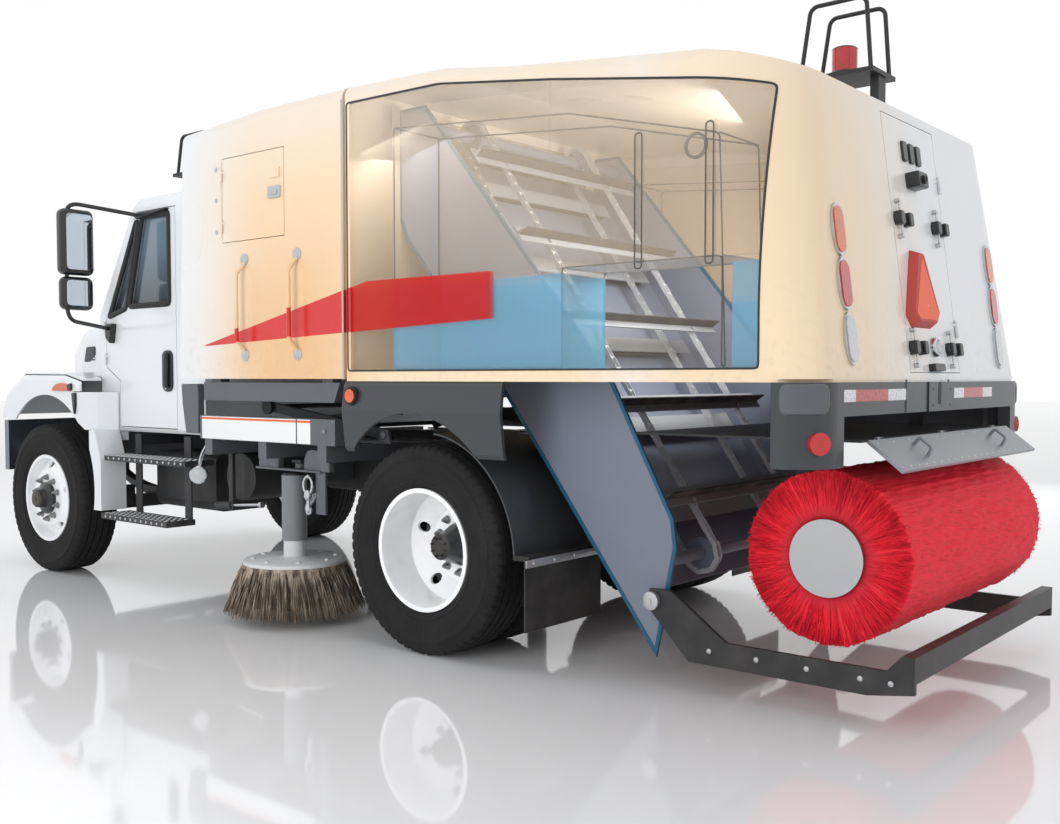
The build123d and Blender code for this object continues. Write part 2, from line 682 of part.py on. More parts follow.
def body_form(inset, low_z=None):
    """The body's outer form, or its hollow when inset by the wall."""
    half = body_half_width - inset
    low_z = body_floor_z + inset if low_z is None else low_z
    outline = [(ra(body_front) - inset, low_z)]
    outline += [(ra(x) - (inset if x == body_front else 0), z - inset) for x, z in roof_line]
    outline += [(ra(body_rear - 100), 2440 - inset), (ra(body_rear - 100), low_z)]
    roofed = side_plate(outline, -half, half)
    edges = roofed.edges().filter_by(lambda edge: edge.center().Z > 2450 and abs(edge.center().Y) > half - 1)
    roofed = fillet(edges, roof_corner - inset)
    plans = []
    for z, corner in ((body_floor_z, corner_low), (body_top_z, corner_high)):
        rear = ra(body_rear) + inset + (z - body_floor_z) * rear_lean
        start = Line((ra(body_front) + 10, -half, z), (rear + corner, -half, z))
        first = ThreePointArc(start @ 1, (rear + corner * 0.293, -half + corner * 0.293, z), (rear, corner - half, z))
        back = Line(first @ 1, (rear, half - corner, z))
        second = ThreePointArc(back @ 1, (rear + corner * 0.293, half - corner * 0.293, z), (rear + corner, half, z))
        end = Line(second @ 1, (ra(body_front) + 10, half, z))
        front = Line(end @ 1, start @ 0)
        plans.append(make_face([start, first, back, second, end, front]))
    return roofed & loft(plans, ruled=True)


door_half = 300.0
door_top_z = 2470.0
door_low_z = body_floor_z + 30.0
body_out = body_form(0)
body_in = body_form(body_wall)
shell = body_out - body_in
discharge = block(ra(body_front - 60), ra(body_front + 60), -760, 760, 2060, 2720)
shell -= discharge
rear_zone = block(ra(body_rear - 50), ra(body_rear + 400), -door_half, door_half, door_low_z, door_top_z)
door_gap = 4.0
rear_gap_zone = block(ra(body_rear - 50), ra(body_rear + 400), -door_half - door_gap, door_half + door_gap,
                      door_low_z - door_gap, door_top_z + door_gap)
door_panel = shell & rear_zone
rear_hinge_y = -door_half - door_gap / 2
rear_hinge_out = 10.0
window_low_z = body_floor_z + 40.0
window_zone = side_plate([(ra(body_front - 30), window_low_z), (ra(body_front - 30), 2700), (ra(-150), 2690),
                          (ra(body_seam), 2600), (ra(-1800), 2440), (ra(-1800), window_low_z)], 900, body_half_width + 10)
side_panel = shell & window_zone
shell = shell - rear_gap_zone - window_zone
elevator_slot = block(ra(-880), ra(-170), -elevator_half_width - 1, elevator_half_width + 1, body_floor_z - 50, body_floor_z + 60)
shell -= elevator_slot
for hinge_height in (1560, 2230):
    wall_x = ra(body_rear) + (hinge_height - body_floor_z) * rear_lean
    at = (wall_x - rear_hinge_out, rear_hinge_y, hinge_height)
    shell += hinge_pin(at, (rear_lean, 0, 1), (wall_x + 8, rear_hinge_y - 20, hinge_height), 40, 8)
    door_panel += hinge_barrel(at, (rear_lean, 0, 1), (wall_x + 8, rear_hinge_y + 20, hinge_height), 40, 8)
mid_zone = block(ra(body_seam), ra(body_front + 50), -1400, 1400, 1200, 2900)
body_mid = shell & mid_zone
body_back = shell - mid_zone
save("body_mid", body_mid)
save("body_rear", body_back)
save("side_window", side_panel & mid_zone, side_panel - mid_zone)
save("rear_door", door_panel)

# Sub-floor plate under the body, on four posts from the frame
base_z = body_floor_z - 12.0
base = plan_plate([(ra(body_front), -body_half_width), (ra(body_front), body_half_width),
                   (ra(body_rear + 150), body_half_width), (ra(body_rear), body_half_width - 150),
                   (ra(body_rear), 150 - body_half_width), (ra(body_rear + 150), -body_half_width)], base_z, body_floor_z)
base -= elevator_slot
for post_x in (400, -100):
    post = block(ra(post_x - 40), ra(post_x + 40), rail_in, rail_half_width, rail_top_z, base_z)
    base += post + across(post)
save("body_base", base)

# Skirts: a creased panel on each side with the rear wheel arch cut out, and a fender strip behind each tyre
skirt_out = 1240.0
skirt_low_z = 965.0
crease_z = 1172.0
skirt_section = [(1212, base_z), (1222, base_z - 20), (skirt_out, crease_z), (1216, skirt_low_z + 20), (1200, skirt_low_z),
                 (1184, skirt_low_z), (1200, skirt_low_z + 26), (skirt_out - 18, crease_z), (1204, base_z - 22), (1190, base_z)]
rear_arch_radius = 545.0
rear_arch = rod((ra(45), -1400, 620), (ra(45), 1400, 620), rear_arch_radius)
skirt_front = 520.0
left_skirt_rear = -540.0
lobe_front = body_rear + 170.0
skirt_left = cross_plate(skirt_section, ra(left_skirt_rear), ra(skirt_front)) - rear_arch
skirt_right = across(cross_plate(skirt_section, ra(lobe_front), ra(skirt_front))) - rear_arch
fender_strip_radius = 560.0
strip = rod((ra(0), 630, axle_z), (ra(0), 1170, axle_z), fender_strip_radius + 8)
strip -= rod((ra(0), 600, axle_z), (ra(0), 1200, axle_z), fender_strip_radius)
strip &= block(ra(-600), ra(-60), 600, 1200, axle_z + 30, 1200)
save("skirts", skirt_left, skirt_right, *both(strip))


def rear_band(outset, depth, z0, z1):
    """A band that follows the body's rear corners in plan."""
    faces = []
    for grow in (outset, outset - depth):
        half = body_half_width + grow
        rear = ra(body_rear) - grow
        corner = corner_low + grow
        front_x = ra(lobe_front)
        start = Line((front_x, -half, z0), (rear + corner, -half, z0))
        first = ThreePointArc(start @ 1, (rear + corner * 0.293, -half + corner * 0.293, z0), (rear, corner - half, z0))
        back = Line(first @ 1, (rear, half - corner, z0))
        second = ThreePointArc(back @ 1, (rear + corner * 0.293, half - corner * 0.293, z0), (rear + corner, half, z0))
        end = Line(second @ 1, (front_x, half, z0))
        faces.append(make_face([start, first, back, second, end, Line(end @ 1, start @ 0)]))
    outer = extrude(faces[0], amount=z1 - z0, dir=(0, 0, 1))
    return outer - extrude(faces[1], amount=z1 - z0, dir=(0, 0, 1))


# Rear bumper: a deep band with a lobe at each corner and a plate in the middle
band_low_z = 1190.0
lobe_low_z = 1000.0
rear_bumper = rear_band(16, 90, band_low_z, base_z)
lobes = rear_band(16, 60, lobe_low_z, band_low_z) - block(ra(body_rear - 100), ra(lobe_front), -1010, 1010, 900, 1300)
rear_bumper += lobes
marker_turn = math.radians(145)
marker_z = 1094.0
marker_radius = 42.0
for side in (1, -1):
    arc_x, arc_y = ra(body_rear) + corner_low, side * (body_half_width - corner_low)
    way = (math.cos(marker_turn), side * math.sin(marker_turn))
    rear_bumper -= rod((arc_x, arc_y, marker_z), (arc_x + way[0] * 300, arc_y + way[1] * 300, marker_z), marker_radius + fit_gap)
plate_half = 105.0
plate_hole = 4.5
plate_low_z = 1215.0
rear_bumper += block(ra(body_rear) - 22, ra(body_rear) - 16, -plate_half - 50, plate_half + 50, plate_low_z - 25, base_z)
for hole_y in (-plate_half, plate_half):
    for hole_z in (plate_low_z, plate_low_z + 70):
        rear_bumper -= rod((ra(body_rear) - 60, hole_y, hole_z), (ra(body_rear) + 40, hole_y, hole_z), plate_hole)
save("rear_bumper", rear_bumper)

# Elevator: two side plates, a slanted floor, and a shaft with two sprockets at each end
plate_outline = [(480, 2720), (480, 2180), (430, 2060), (-200, 1325), (-510, 930), (-1120, 130), (-1215, 600),
                 (-1200, 720), (-870, 1326), (300, 2720)]
run = Vector(foot_x - head_x, 0, foot_z - head_z)
run_length = run.length
run_way = run.normalized()
floor_way = Vector(-run_way.Z, 0, run_way.X)
if floor_way.X < 0:
    floor_way = floor_way * -1
head = Vector(ra(head_x), 0, head_z)
foot = Vector(ra(foot_x), 0, foot_z)
flight_height = 70.0
floor_offset = sprocket_radius + chain_depth / 2 + flight_height + 8.0
side_in = elevator_half_width - elevator_plate
elevator = side_plate([(ra(x), z) for x, z in plate_outline], side_in, elevator_half_width)
elevator += across(elevator)
floor_top = head + floor_way * floor_offset
floor_low = foot + floor_way * floor_offset + run_way * 70
floor_skin = floor_way * 6.0
floor_points = [floor_top, floor_low, floor_low + floor_skin, floor_top + floor_skin]
elevator += side_plate([(point.X, point.Z) for point in floor_points], -side_in, side_in)
shaft_radius = 30.0
for end in (head, foot):
    elevator += rod((end.X, -side_in, end.Z), (end.X, side_in, end.Z), shaft_radius)
    for side in (1, -1):
        y = side * chain_y
        elevator += rod((end.X, y - 14, end.Z), (end.X, y + 14, end.Z), sprocket_radius - chain_depth / 2 - fit_gap)
arm_pin_radius = 25.0
elevator += rod((ra(arm_pin_x), -elevator_half_width, arm_pin_z), (ra(arm_pin_x), -elevator_half_width - 26, arm_pin_z),
                arm_pin_radius)
save("conveyor_housing", elevator)


def loop_face(radius, y):
    """A long loop round both sprockets, as a face across the truck."""
    out = floor_way * radius
    along = run_way * radius
    lift = Vector(0, y, 0)
    low = Line(head + out + lift, foot + out + lift)
    turn_low = ThreePointArc(low @ 1, foot + along + lift, foot - out + lift)
    high = Line(turn_low @ 1, head - out + lift)
    turn_high = ThreePointArc(high @ 1, head - along + lift, low @ 0)
    return make_face([low, turn_low, high, turn_high])


def slab_on_run(way, start, end, low, high, y0, y1):
    """A bar across a run of the loop, from distances along the run and out from its middle line."""
    points = []
    for along, out in ((start, low), (end, low), (end, high), (start, high)):
        point = head + run_way * along + way * out
        points.append((point.X, point.Z))
    return side_plate(points, y0, y1)


# Chains: a closed loop on each side with angle bars across
chain_out = sprocket_radius + chain_depth / 2
chain_in = sprocket_radius - chain_depth / 2
chains = None
for side in (1, -1):
    y = side * chain_y - chain_width / 2
    loop = extrude(loop_face(chain_out, y), amount=chain_width, dir=(0, 1, 0))
    loop -= extrude(loop_face(chain_in, y - 5), amount=chain_width + 10, dir=(0, 1, 0))
    chains = loop if chains is None else chains + loop
runs = flight_count // 2
for way in (floor_way, floor_way * -1):
    for step in range(runs):
        along = run_length * (step + 0.5) / runs
        chains += slab_on_run(way, along - 45, along + 45, chain_out - 1, chain_out + 8, -flight_half_width, flight_half_width)
        chains += slab_on_run(way, along - 4, along + 4, chain_out, chain_out + flight_height, -flight_half_width,
                              flight_half_width)
save("conveyor_chain", chains)

# Water tanks: moulded saddles between the elevator and the body's sides, with an open middle bay
tank_in = elevator_half_width + 12.0
tank_out = body_half_width - body_wall - 9.0
tank_bottom_z = body_floor_z + body_wall
tank_outline = [(190, tank_bottom_z), (190, 2640), (-880, 2560), (-1850, 2420), (-1850, tank_bottom_z), (-1673, tank_bottom_z),
                (-1673, 1800), (-850, 1800), (-850, tank_bottom_z)]
water_tank = side_plate([(ra(x), z) for x, z in tank_outline], tank_in, tank_out)
for slot_x in (-1245, -1573):
    slot = block(ra(slot_x - 18), ra(slot_x + 18), tank_out - 14, tank_out + 5, 1760, 2330)
    water_tank -= slot
water_tank = water_tank & body_form(body_wall + 9, tank_bottom_z)
save("water_tanks", *both(water_tank))

# Rear broom: a lift arm, a steel core and the bristles on it
arm_y = -elevator_half_width - swing_gap
arm_thick = 18.0
broom_shaft = 30.0
arm = side_plate([(ra(arm_pin_x) + 45, arm_pin_z - 45), (ra(arm_pin_x) + 45, arm_pin_z + 45), (ra(broom_x) - 20, broom_z + 60),
                  (ra(broom_x) - 60, broom_z + 20), (ra(broom_x) - 60, broom_z - 20), (ra(broom_x) - 20, broom_z - 60)],
                 arm_y - arm_thick, arm_y)
arm -= rod((ra(arm_pin_x), arm_y + 10, arm_pin_z), (ra(arm_pin_x), arm_y - 40, arm_pin_z), arm_pin_radius + pin_clearance)
arm -= rod((ra(broom_x), arm_y + 10, broom_z), (ra(broom_x), arm_y - 40, broom_z), broom_shaft + pin_clearance)
save("broom_arm", arm)
core = rod((ra(broom_x), -broom_half_width, broom_z), (ra(broom_x), broom_half_width, broom_z), broom_core_radius)
core += rod((ra(broom_x), -broom_half_width - 46, broom_z), (ra(broom_x), 0, broom_z), broom_shaft)
save("broom_core", core)
bristles = turned([(broom_core_radius + fit_gap, -broom_half_width), (broom_radius, -broom_half_width),
                   (broom_radius, broom_half_width), (broom_core_radius + fit_gap, broom_half_width)],
                  ra(broom_x), 0, broom_z)
save("broom_bristles", bristles)

# Broom housing: a top plate hung from the sub-floor, drag shoes and a rear deflector
hood_top_z = 1095.0
hood_half = side_in
housing = block(ra(-2045), ra(-1000), -hood_half, hood_half, hood_top_z - 10, hood_top_z)
for side in (1, -1):
    housing += block(ra(-1700), ra(-1640), side * 700, side * 740, hood_top_z, base_z)
shoe_in = elevator_half_width + 34.0
shoe_out = shoe_in + 20.0
shoe_outline = [(-1120, 420), (-1120, 330), (-1300, 150), (-1320, 130), (-2106, 130), (-2290, 160), (-2290, 300),
                (-2240, 300), (-2180, 235), (-1500, 235), (-1230, 420)]
shoe = side_plate([(ra(x), z) for x, z in shoe_outline], shoe_in, shoe_out)
shoe += rod((ra(-1140), elevator_half_width, 370), (ra(-1140), shoe_in + 5, 370), 22)
drag = shoe + across(shoe)
drag += block(ra(-rear_overhang), ra(50 - rear_overhang), -shoe_in, shoe_in, 200, 300)
cover_hinge_x = -2054.0
cover_hinge_z = hood_top_z + 1.0
cover_hinges = (-700, 0, 700)
for hinge_y in cover_hinges:
    at = (ra(cover_hinge_x), hinge_y, cover_hinge_z)
    housing += hinge_pin(at, (0, 1, 0), (ra(-2036), hinge_y, hood_top_z - 5), 30, 7)
save("broom_housing", housing, drag)

# Cover: a sloping panel with two handles, hinged along the top plate's rear edge
cover = side_plate([(ra(-2066), 1086), (ra(-2207), 975), (ra(-2215), 985), (ra(-2074), 1096)], -850, 850)
for hinge_y in cover_hinges:
    at = (ra(cover_hinge_x), hinge_y, cover_hinge_z)
    cover += hinge_barrel(at, (0, 1, 0), (ra(-2078), hinge_y, 1087), 30, 7)
for side in (1, -1):
    handle_y = side * 480
    cover += bent_tube([(ra(-2105), handle_y, 1060), (ra(-2135), handle_y, 1095), (ra(-2185), handle_y, 1055),
                        (ra(-2165), handle_y, 1015)], 12, 7)
save("broom_cover", cover)

# Side brooms: a swinging arm with its motor, a turning disc and a flared ring of bristles
ear_gap = 5.0
boss_low_z = 735.0
boss_high_z = 835.0
motor_low_z = 440.0
motor_radius = 68.0
side_shaft = 20.0


def side_broom(side):
    """Arm, disc and bristles of one side broom."""
    px, py = ra(side_pivot_x), side * side_pivot_y
    bx, by = ra(side_broom_x), side * side_broom_y
    boss = Pos(px, py, (boss_low_z + boss_high_z) / 2) * Cylinder(38, boss_high_z - boss_low_z)
    motor = Pos(bx, by, (motor_low_z + 800) / 2) * Cylinder(motor_radius, 800 - motor_low_z)
    arm_bar = rod((px, py, 785), (bx, by, 785), 26)
    arm_bar += rod((px, py, 805), (bx, by, 580), 18)
    swing = boss + motor + arm_bar
    swing -= Pos(px, py, 785) * Cylinder(lift_pin_radius + pin_clearance, 300)
    swing -= Pos(bx, by, motor_low_z) * Cylinder(side_shaft + pin_clearance, 100)
    disc = Pos(bx, by, side_disc_z) * Cylinder(side_disc_radius, 26)
    hub_top = motor_low_z - fit_gap
    disc += Pos(bx, by, (side_disc_z + hub_top) / 2) * Cylinder(60, hub_top - side_disc_z)
    disc += Pos(bx, by, motor_low_z) * Cylinder(side_shaft, 80)
    ring_top = side_disc_z - 13 - fit_gap
    ring = [(side_disc_radius - 70, ring_top), (side_disc_radius + 4, ring_top), (side_tip_radius, side_tip_z),
            (side_tip_radius - 100, side_tip_z)]
    outline = Polyline(*[(r, 0, z) for r, z in ring], close=True)
    bristle = Pos(bx, by, 0) * revolve(make_face(outline), Axis.Z)
    return swing, disc, bristle


for side, word in ((1, "left"), (-1, "right")):
    swing, disc, bristle = side_broom(side)
    save("side_arm_" + word, swing)
    save("side_broom_" + word, disc, bristle)

# Lift base: outriggers, roller tracks, pin lugs, the side beams and the side brooms' pivots
arm_a_y = 730.0
arm_b_y = 690.0
arm_width = 30.0
base_front = 1782.0
beam_in = 1160.0
outrigger_top = track_top_z - 10.0
lift = None
for x in (700, 1200, 1700):
    piece = block(ra(x - 35), ra(x + 35), rail_half_width, body_half_width, outrigger_top - 80, outrigger_top)
    piece += block(ra(x - 35), ra(x + 35), beam_in, body_half_width, outrigger_top - 1, track_top_z)
    lift = piece if lift is None else lift + piece
lift += block(ra(640), ra(1800), 655, 790, outrigger_top, track_top_z)
lift += block(ra(596), ra(base_front), beam_in, body_half_width, track_top_z, 1121)
lug_in = arm_a_y + arm_width + ear_gap
lift += side_plate([(ra(lift_pin_x - 45), track_top_z - 1), (ra(lift_pin_x + 45), track_top_z - 1),
                    (ra(lift_pin_x + 30), lift_pin_z + 32), (ra(lift_pin_x - 30), lift_pin_z + 32)], lug_in, lug_in + 18)
lift += rod((ra(lift_pin_x), arm_a_y - 2, lift_pin_z), (ra(lift_pin_x), lug_in + 18, lift_pin_z), lift_pin_radius)
lift += block(ra(side_pivot_x - 40), ra(side_pivot_x + 40), rail_half_width, side_pivot_y - 45, boss_low_z - 20, boss_high_z + 20)
for z0 in (boss_low_z - ear_gap - 15, boss_high_z + ear_gap):
    lift += block(ra(side_pivot_x - 40), ra(side_pivot_x + 40), side_pivot_y - 50, side_pivot_y + 40, z0, z0 + 15)
lift += Pos(ra(side_pivot_x), side_pivot_y, 785) * Cylinder(lift_pin_radius, 140)
save("lift_base", lift, across(lift))

# Scissor arms: two pairs of bars joined by shafts, with rollers on their free ends
lift_length = math.hypot(lift_span, lift_rise)
top_pin_z = lift_pin_z + lift_rise
far_x = lift_pin_x + lift_span
middle_x = lift_pin_x + lift_span / 2
middle_z = lift_pin_z + lift_rise / 2


def lift_bar_plate(start, end, y0):
    """A flat bar between two pin centres."""
    x0, z0 = start
    x1, z1 = end
    way = Vector(x1 - x0, 0, z1 - z0).normalized()
    up = Vector(-way.Z, 0, way.X) * lift_bar
    points = [(x0 + up.X, z0 + up.Z), (x1 + up.X, z1 + up.Z), (x1 - up.X, z1 - up.Z), (x0 - up.X, z0 - up.Z)]
    bar = side_plate([(ra(x), z) for x, z in points], y0, y0 + arm_width)
    for x, z in (start, end, (middle_x, middle_z)):
        bar += rod((ra(x), y0, z), (ra(x), y0 + arm_width, z), lift_eye)
    return bar


pin_bore = lift_pin_radius + pin_clearance
roller_top = platform_bottom_z - top_pin_z - fit_gap
roller_low = lift_pin_z - track_top_z - fit_gap
arm_a = lift_bar_plate((lift_pin_x, lift_pin_z), (far_x, top_pin_z), arm_a_y)
arm_a -= rod((ra(lift_pin_x), 0, lift_pin_z), (ra(lift_pin_x), 900, lift_pin_z), pin_bore)
arm_a += rod((ra(far_x), 0, top_pin_z), (ra(far_x), arm_a_y + arm_width + 22, top_pin_z), lift_pin_radius)
arm_a += rod((ra(far_x), arm_a_y + arm_width, top_pin_z), (ra(far_x), arm_a_y + arm_width + 22, top_pin_z), roller_top)
arm_a += rod((ra(middle_x), arm_b_y, middle_z), (ra(middle_x), arm_a_y + 5, middle_z), lift_pin_radius)
arm_b = lift_bar_plate((lift_pin_x, top_pin_z), (far_x, lift_pin_z), arm_b_y)
for x, z in ((lift_pin_x, top_pin_z), (middle_x, middle_z)):
    arm_b -= rod((ra(x), 600, z), (ra(x), 900, z), pin_bore)
arm_b += rod((ra(far_x), 0, lift_pin_z), (ra(far_x), arm_b_y + 5, lift_pin_z), lift_pin_radius)
arm_b += rod((ra(far_x), arm_b_y - 22, lift_pin_z), (ra(far_x), arm_b_y, lift_pin_z), roller_low)
save("lift_arms_outer", arm_a + across(arm_a))
save("lift_arms_inner", arm_b + across(arm_b))

# Lift platform: a ladder of beams with the inner arms' lugs and the hopper's hinge barrels
platform = None
half_platform = side_plate([(ra(600), platform_top_z), (ra(1798), platform_top_z), (ra(1798), platform_bottom_z),
                            (ra(646), platform_bottom_z)], 1080, 1180)
half_platform += block(ra(646), ra(1798), 655, 810, platform_bottom_z, platform_bottom_z + 10)
for x in (700, 1240, 1740):
    half_platform += block(ra(x - 30), ra(x + 30), 0, 1090, platform_bottom_z + 9, platform_top_z)
top_lug = arm_b_y - ear_gap - 16
half_platform += side_plate([(ra(lift_pin_x - 30), top_pin_z - 30), (ra(lift_pin_x + 30), top_pin_z - 30),
                             (ra(lift_pin_x + 40), platform_bottom_z + 1), (ra(lift_pin_x - 40), platform_bottom_z + 1)],
                            top_lug, top_lug + 16)
half_platform += rod((ra(lift_pin_x), top_lug, top_pin_z), (ra(lift_pin_x), arm_b_y + arm_width + 2, top_pin_z), lift_pin_radius)
for x in (720, 1700):
    half_platform += block(ra(x - 40), ra(x + 40), 1100, 1160, platform_top_z - 1, body_floor_z - fit_gap)
platform = half_platform + across(half_platform)
dump_y = -1205.0
dump_z = 1290.0
dump_pin = 10.0
dump_stations = (760.0, 1220.0, 1640.0)
for x in dump_stations:
    platform += block(ra(x - 30), ra(x + 30), dump_y, -1175, dump_z - 14, dump_z + 14)
    platform += rod((ra(x - 30), dump_y, dump_z), (ra(x + 30), dump_y, dump_z), 16)
    platform += rod((ra(x - 30), dump_y, dump_z), (ra(x + 80), dump_y, dump_z), dump_pin)
save("lift_platform", platform)

# Hopper: a welded box, open at the back for the elevator and at the side for dumping
def hopper_form(inset):
    """The hopper's outer form, or its hollow when inset by the wall."""
    half = body_half_width - inset
    outline = [(ra(hopper_rear) + inset, body_floor_z + inset), (ra(hopper_front) - inset, body_floor_z + inset),
               (ra(hopper_front - hopper_front_lean) - inset, hopper_roof_z - inset), (ra(1200), hopper_roof_rear_z - inset),
               (ra(hopper_rear) + inset, hopper_roof_rear_z - inset)]
    form = side_plate(outline, -half, half)
    edges = form.edges().filter_by(lambda edge: edge.center().Z > 2600 and abs(edge.center().Y) > half - 1)
    return fillet(edges, 55.0 - inset)


hopper = hopper_form(0) - hopper_form(hopper_wall)
hopper -= block(ra(hopper_rear - 30), ra(hopper_rear + 60), -760, 760, 2060, 2700)
dump_front = 1840.0
dump_rear = 600.0
dump_low_z = 1450.0
dump_high_z = 2640.0
dump_zone = block(ra(dump_rear), ra(dump_front), -body_half_width - 5, -1150, dump_low_z, dump_high_z)
dump_hole = block(ra(dump_rear - 4), ra(dump_front + 4), -body_half_width - 5, -1150, dump_low_z - 4, dump_high_z + 4)
dump_door = hopper & dump_zone
hopper -= dump_hole
hatch_rear = 993.0
hatch_front = 1538.0
hatch_low_z = 2091.0
hatch_high_z = 2552.0
hatch_zone = block(ra(hatch_rear), ra(hatch_front), 1150, body_half_width + 5, hatch_low_z, hatch_high_z)
hatch_hole = block(ra(hatch_rear - 4), ra(hatch_front + 4), 1150, body_half_width + 5, hatch_low_z - 4, hatch_high_z + 4)
hatch = hopper & hatch_zone
hopper -= hatch_hole
hinge_out = 9.0
for x in dump_stations:
    barrel = rod((ra(x + 32), dump_y, dump_z), (ra(x + 78), dump_y, dump_z), 16)
    barrel += block(ra(x + 32), ra(x + 78), dump_y - 8, dump_y + 8, dump_z, body_floor_z + 5)
    hopper += barrel - rod((ra(x), dump_y, dump_z), (ra(x + 100), dump_y, dump_z), dump_pin + pin_clearance)
for handle_x in (1340, 887):
    hopper += bent_tube([(ra(handle_x), body_half_width - 5, 1970), (ra(handle_x), body_half_width + 58, 1900),
                         (ra(handle_x), body_half_width + 58, 1540), (ra(handle_x), body_half_width - 5, 1472)], 30, 11)
small_hinge = 8.0
small_half = 35.0
hatch_hinge_y = body_half_width + 9.0
for hinge_height in (2180, 2460):
    at = (ra(hatch_front + 2), hatch_hinge_y, hinge_height)
    hopper += hinge_pin(at, (0, 0, 1), (ra(hatch_front + 22), body_half_width - 8, hinge_height), small_half, small_hinge)
    hatch += hinge_barrel(at, (0, 0, 1), (ra(hatch_front - 18), body_half_width - 8, hinge_height), small_half, small_hinge)
for hinge_station in (800, 1640):
    at = (ra(hinge_station), -hatch_hinge_y, dump_high_z + 2)
    hopper += hinge_pin(at, (1, 0, 0), (ra(hinge_station), 8 - body_half_width, dump_high_z + 22), small_half, small_hinge)
    dump_door += hinge_barrel(at, (1, 0, 0), (ra(hinge_station), 8 - body_half_width, dump_high_z - 18), small_half,
                              small_hinge)
save("hopper_shell", hopper)
hatch += block(ra(hatch_rear + 30), ra(hatch_rear + 110), body_half_width, body_half_width + 10, 2400, 2450)
save("hopper_hatch", hatch)
save("dump_door", dump_door)

# Beacons, guards and lamps


def beacon_set(x, y, roof_z, tray_z, top_z, half_x, half_y):
    """A beacon on a tray, with two bent tubes round it."""
    tray = block(x - half_x, x + half_x, y - half_y, y + half_y, tray_z - 20, tray_z)
    for leg_x in (x - half_x + 30, x + half_x - 30):
        tray += block(leg_x - 20, leg_x + 20, y - 40, y + 40, roof_z, tray_z - 19)
    for tube_y in (y - half_y + 25, y + half_y - 25):
        tray += bent_tube([(x - half_x + 20, tube_y, tray_z - 5), (x - half_x + 45, tube_y, top_z),
                           (x + half_x - 70, tube_y, top_z), (x + half_x - 20, tube_y, tray_z - 5)], 40, 10)
    lens = Pos(x, y, tray_z + 65) * Cylinder(58, 130)
    return tray, lens


rear_tray, rear_lens = beacon_set(ra(-1580), 0, 2500, 2720, 3040, 190, 130)
rear_tray -= body_out
front_tray, front_lens = beacon_set(fa(-1290), 690, cab_roof_z, 2640, 2870, 190, 190)
save("beacon_guards", rear_tray, front_tray)
rear_face = Plane(origin=(ra(body_rear), 0, body_floor_z), x_dir=(0, -1, 0), z_dir=(-1, 0, rear_lean))
slope = math.hypot(1, rear_lean)


def on_rear(y, z, width, height, depth):
    """A small box on the leaning rear wall."""
    return rear_face * Pos(-y, (z - body_floor_z) * slope, depth / 2) * Box(width, height, depth)


corner_lamp_y = 890.0
corner_lamp_height = 180.0
corner_lamp_width = 80.0
lamps = []
for side in (1, -1):
    lamps.append(rod((ra(448), side * 1234.6, 1245), (ra(448), side * 1252, 1245), 34))
    for z in (1483, 1694, 1903):
        oval = extrude(SlotOverall(corner_lamp_height, corner_lamp_width, rotation=90), amount=16)
        lamps.append(rear_face * Pos(-side * corner_lamp_y, (z - body_floor_z) * slope, 0) * oval)
    way = (math.cos(marker_turn), side * math.sin(marker_turn))
    arc_x, arc_y = ra(body_rear) + corner_low, side * (body_half_width - corner_low)
    reach = corner_low + 16 + fit_gap
    outer = (arc_x + way[0] * (reach + 16), arc_y + way[1] * (reach + 16), marker_z)
    lamps.append(rod((arc_x + way[0] * (reach - 30), arc_y + way[1] * (reach - 30), marker_z), outer, marker_radius))
save("lamps", rear_lens, front_lens, *[lamp for lamp in lamps])

# Rear door fittings: hinges, latches, lamps and the camera, with the slow-vehicle sign
fittings = []
for y in (door_half - 80, 80 - door_half):
    for z in (2015, 1462):
        fittings.append(on_rear(y, z, 150, 40, 26))
for y in (90, 10, -70):
    fittings.append(on_rear(y, 2330, 50, 90, 12))
fittings.append(on_rear(40, 2200, 120, 70, 60))
fittings.append(on_rear(0, 1470, 90, 90, 30))
save("rear_door_fittings", *fittings)
sign_y = 125.0
sign_half = 165.0
sign_points = [(-sign_y - 35, 560 * slope), (35 - sign_y, 560 * slope), (sign_half - sign_y, 270 * slope),
               (sign_half - 50 - sign_y, 220 * slope), (50 - sign_half - sign_y, 220 * slope), (-sign_half - sign_y, 270 * slope)]
sign_face = make_face(Polyline(*[(x, y, 0) for x, y in sign_points], close=True))
sign = rear_face * extrude(sign_face, amount=22)
save("slow_sign", sign)

# Mud flaps on bars behind the rear tyres
flap_x = -652.0
flap = block(ra(flap_x - 8), ra(flap_x), 640, 1205, 205, 530)
flap += block(ra(flap_x), ra(-558), 640, 1170, 515, axle_z + 30)
flap += rod((ra(-615), 655, 535), (ra(rail_rear + 15), rail_half_width + 12, 745), 15)
save("mud_flaps", *both(flap))
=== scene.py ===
import math

import bpy
import numpy as np
from mathutils import Matrix, Vector


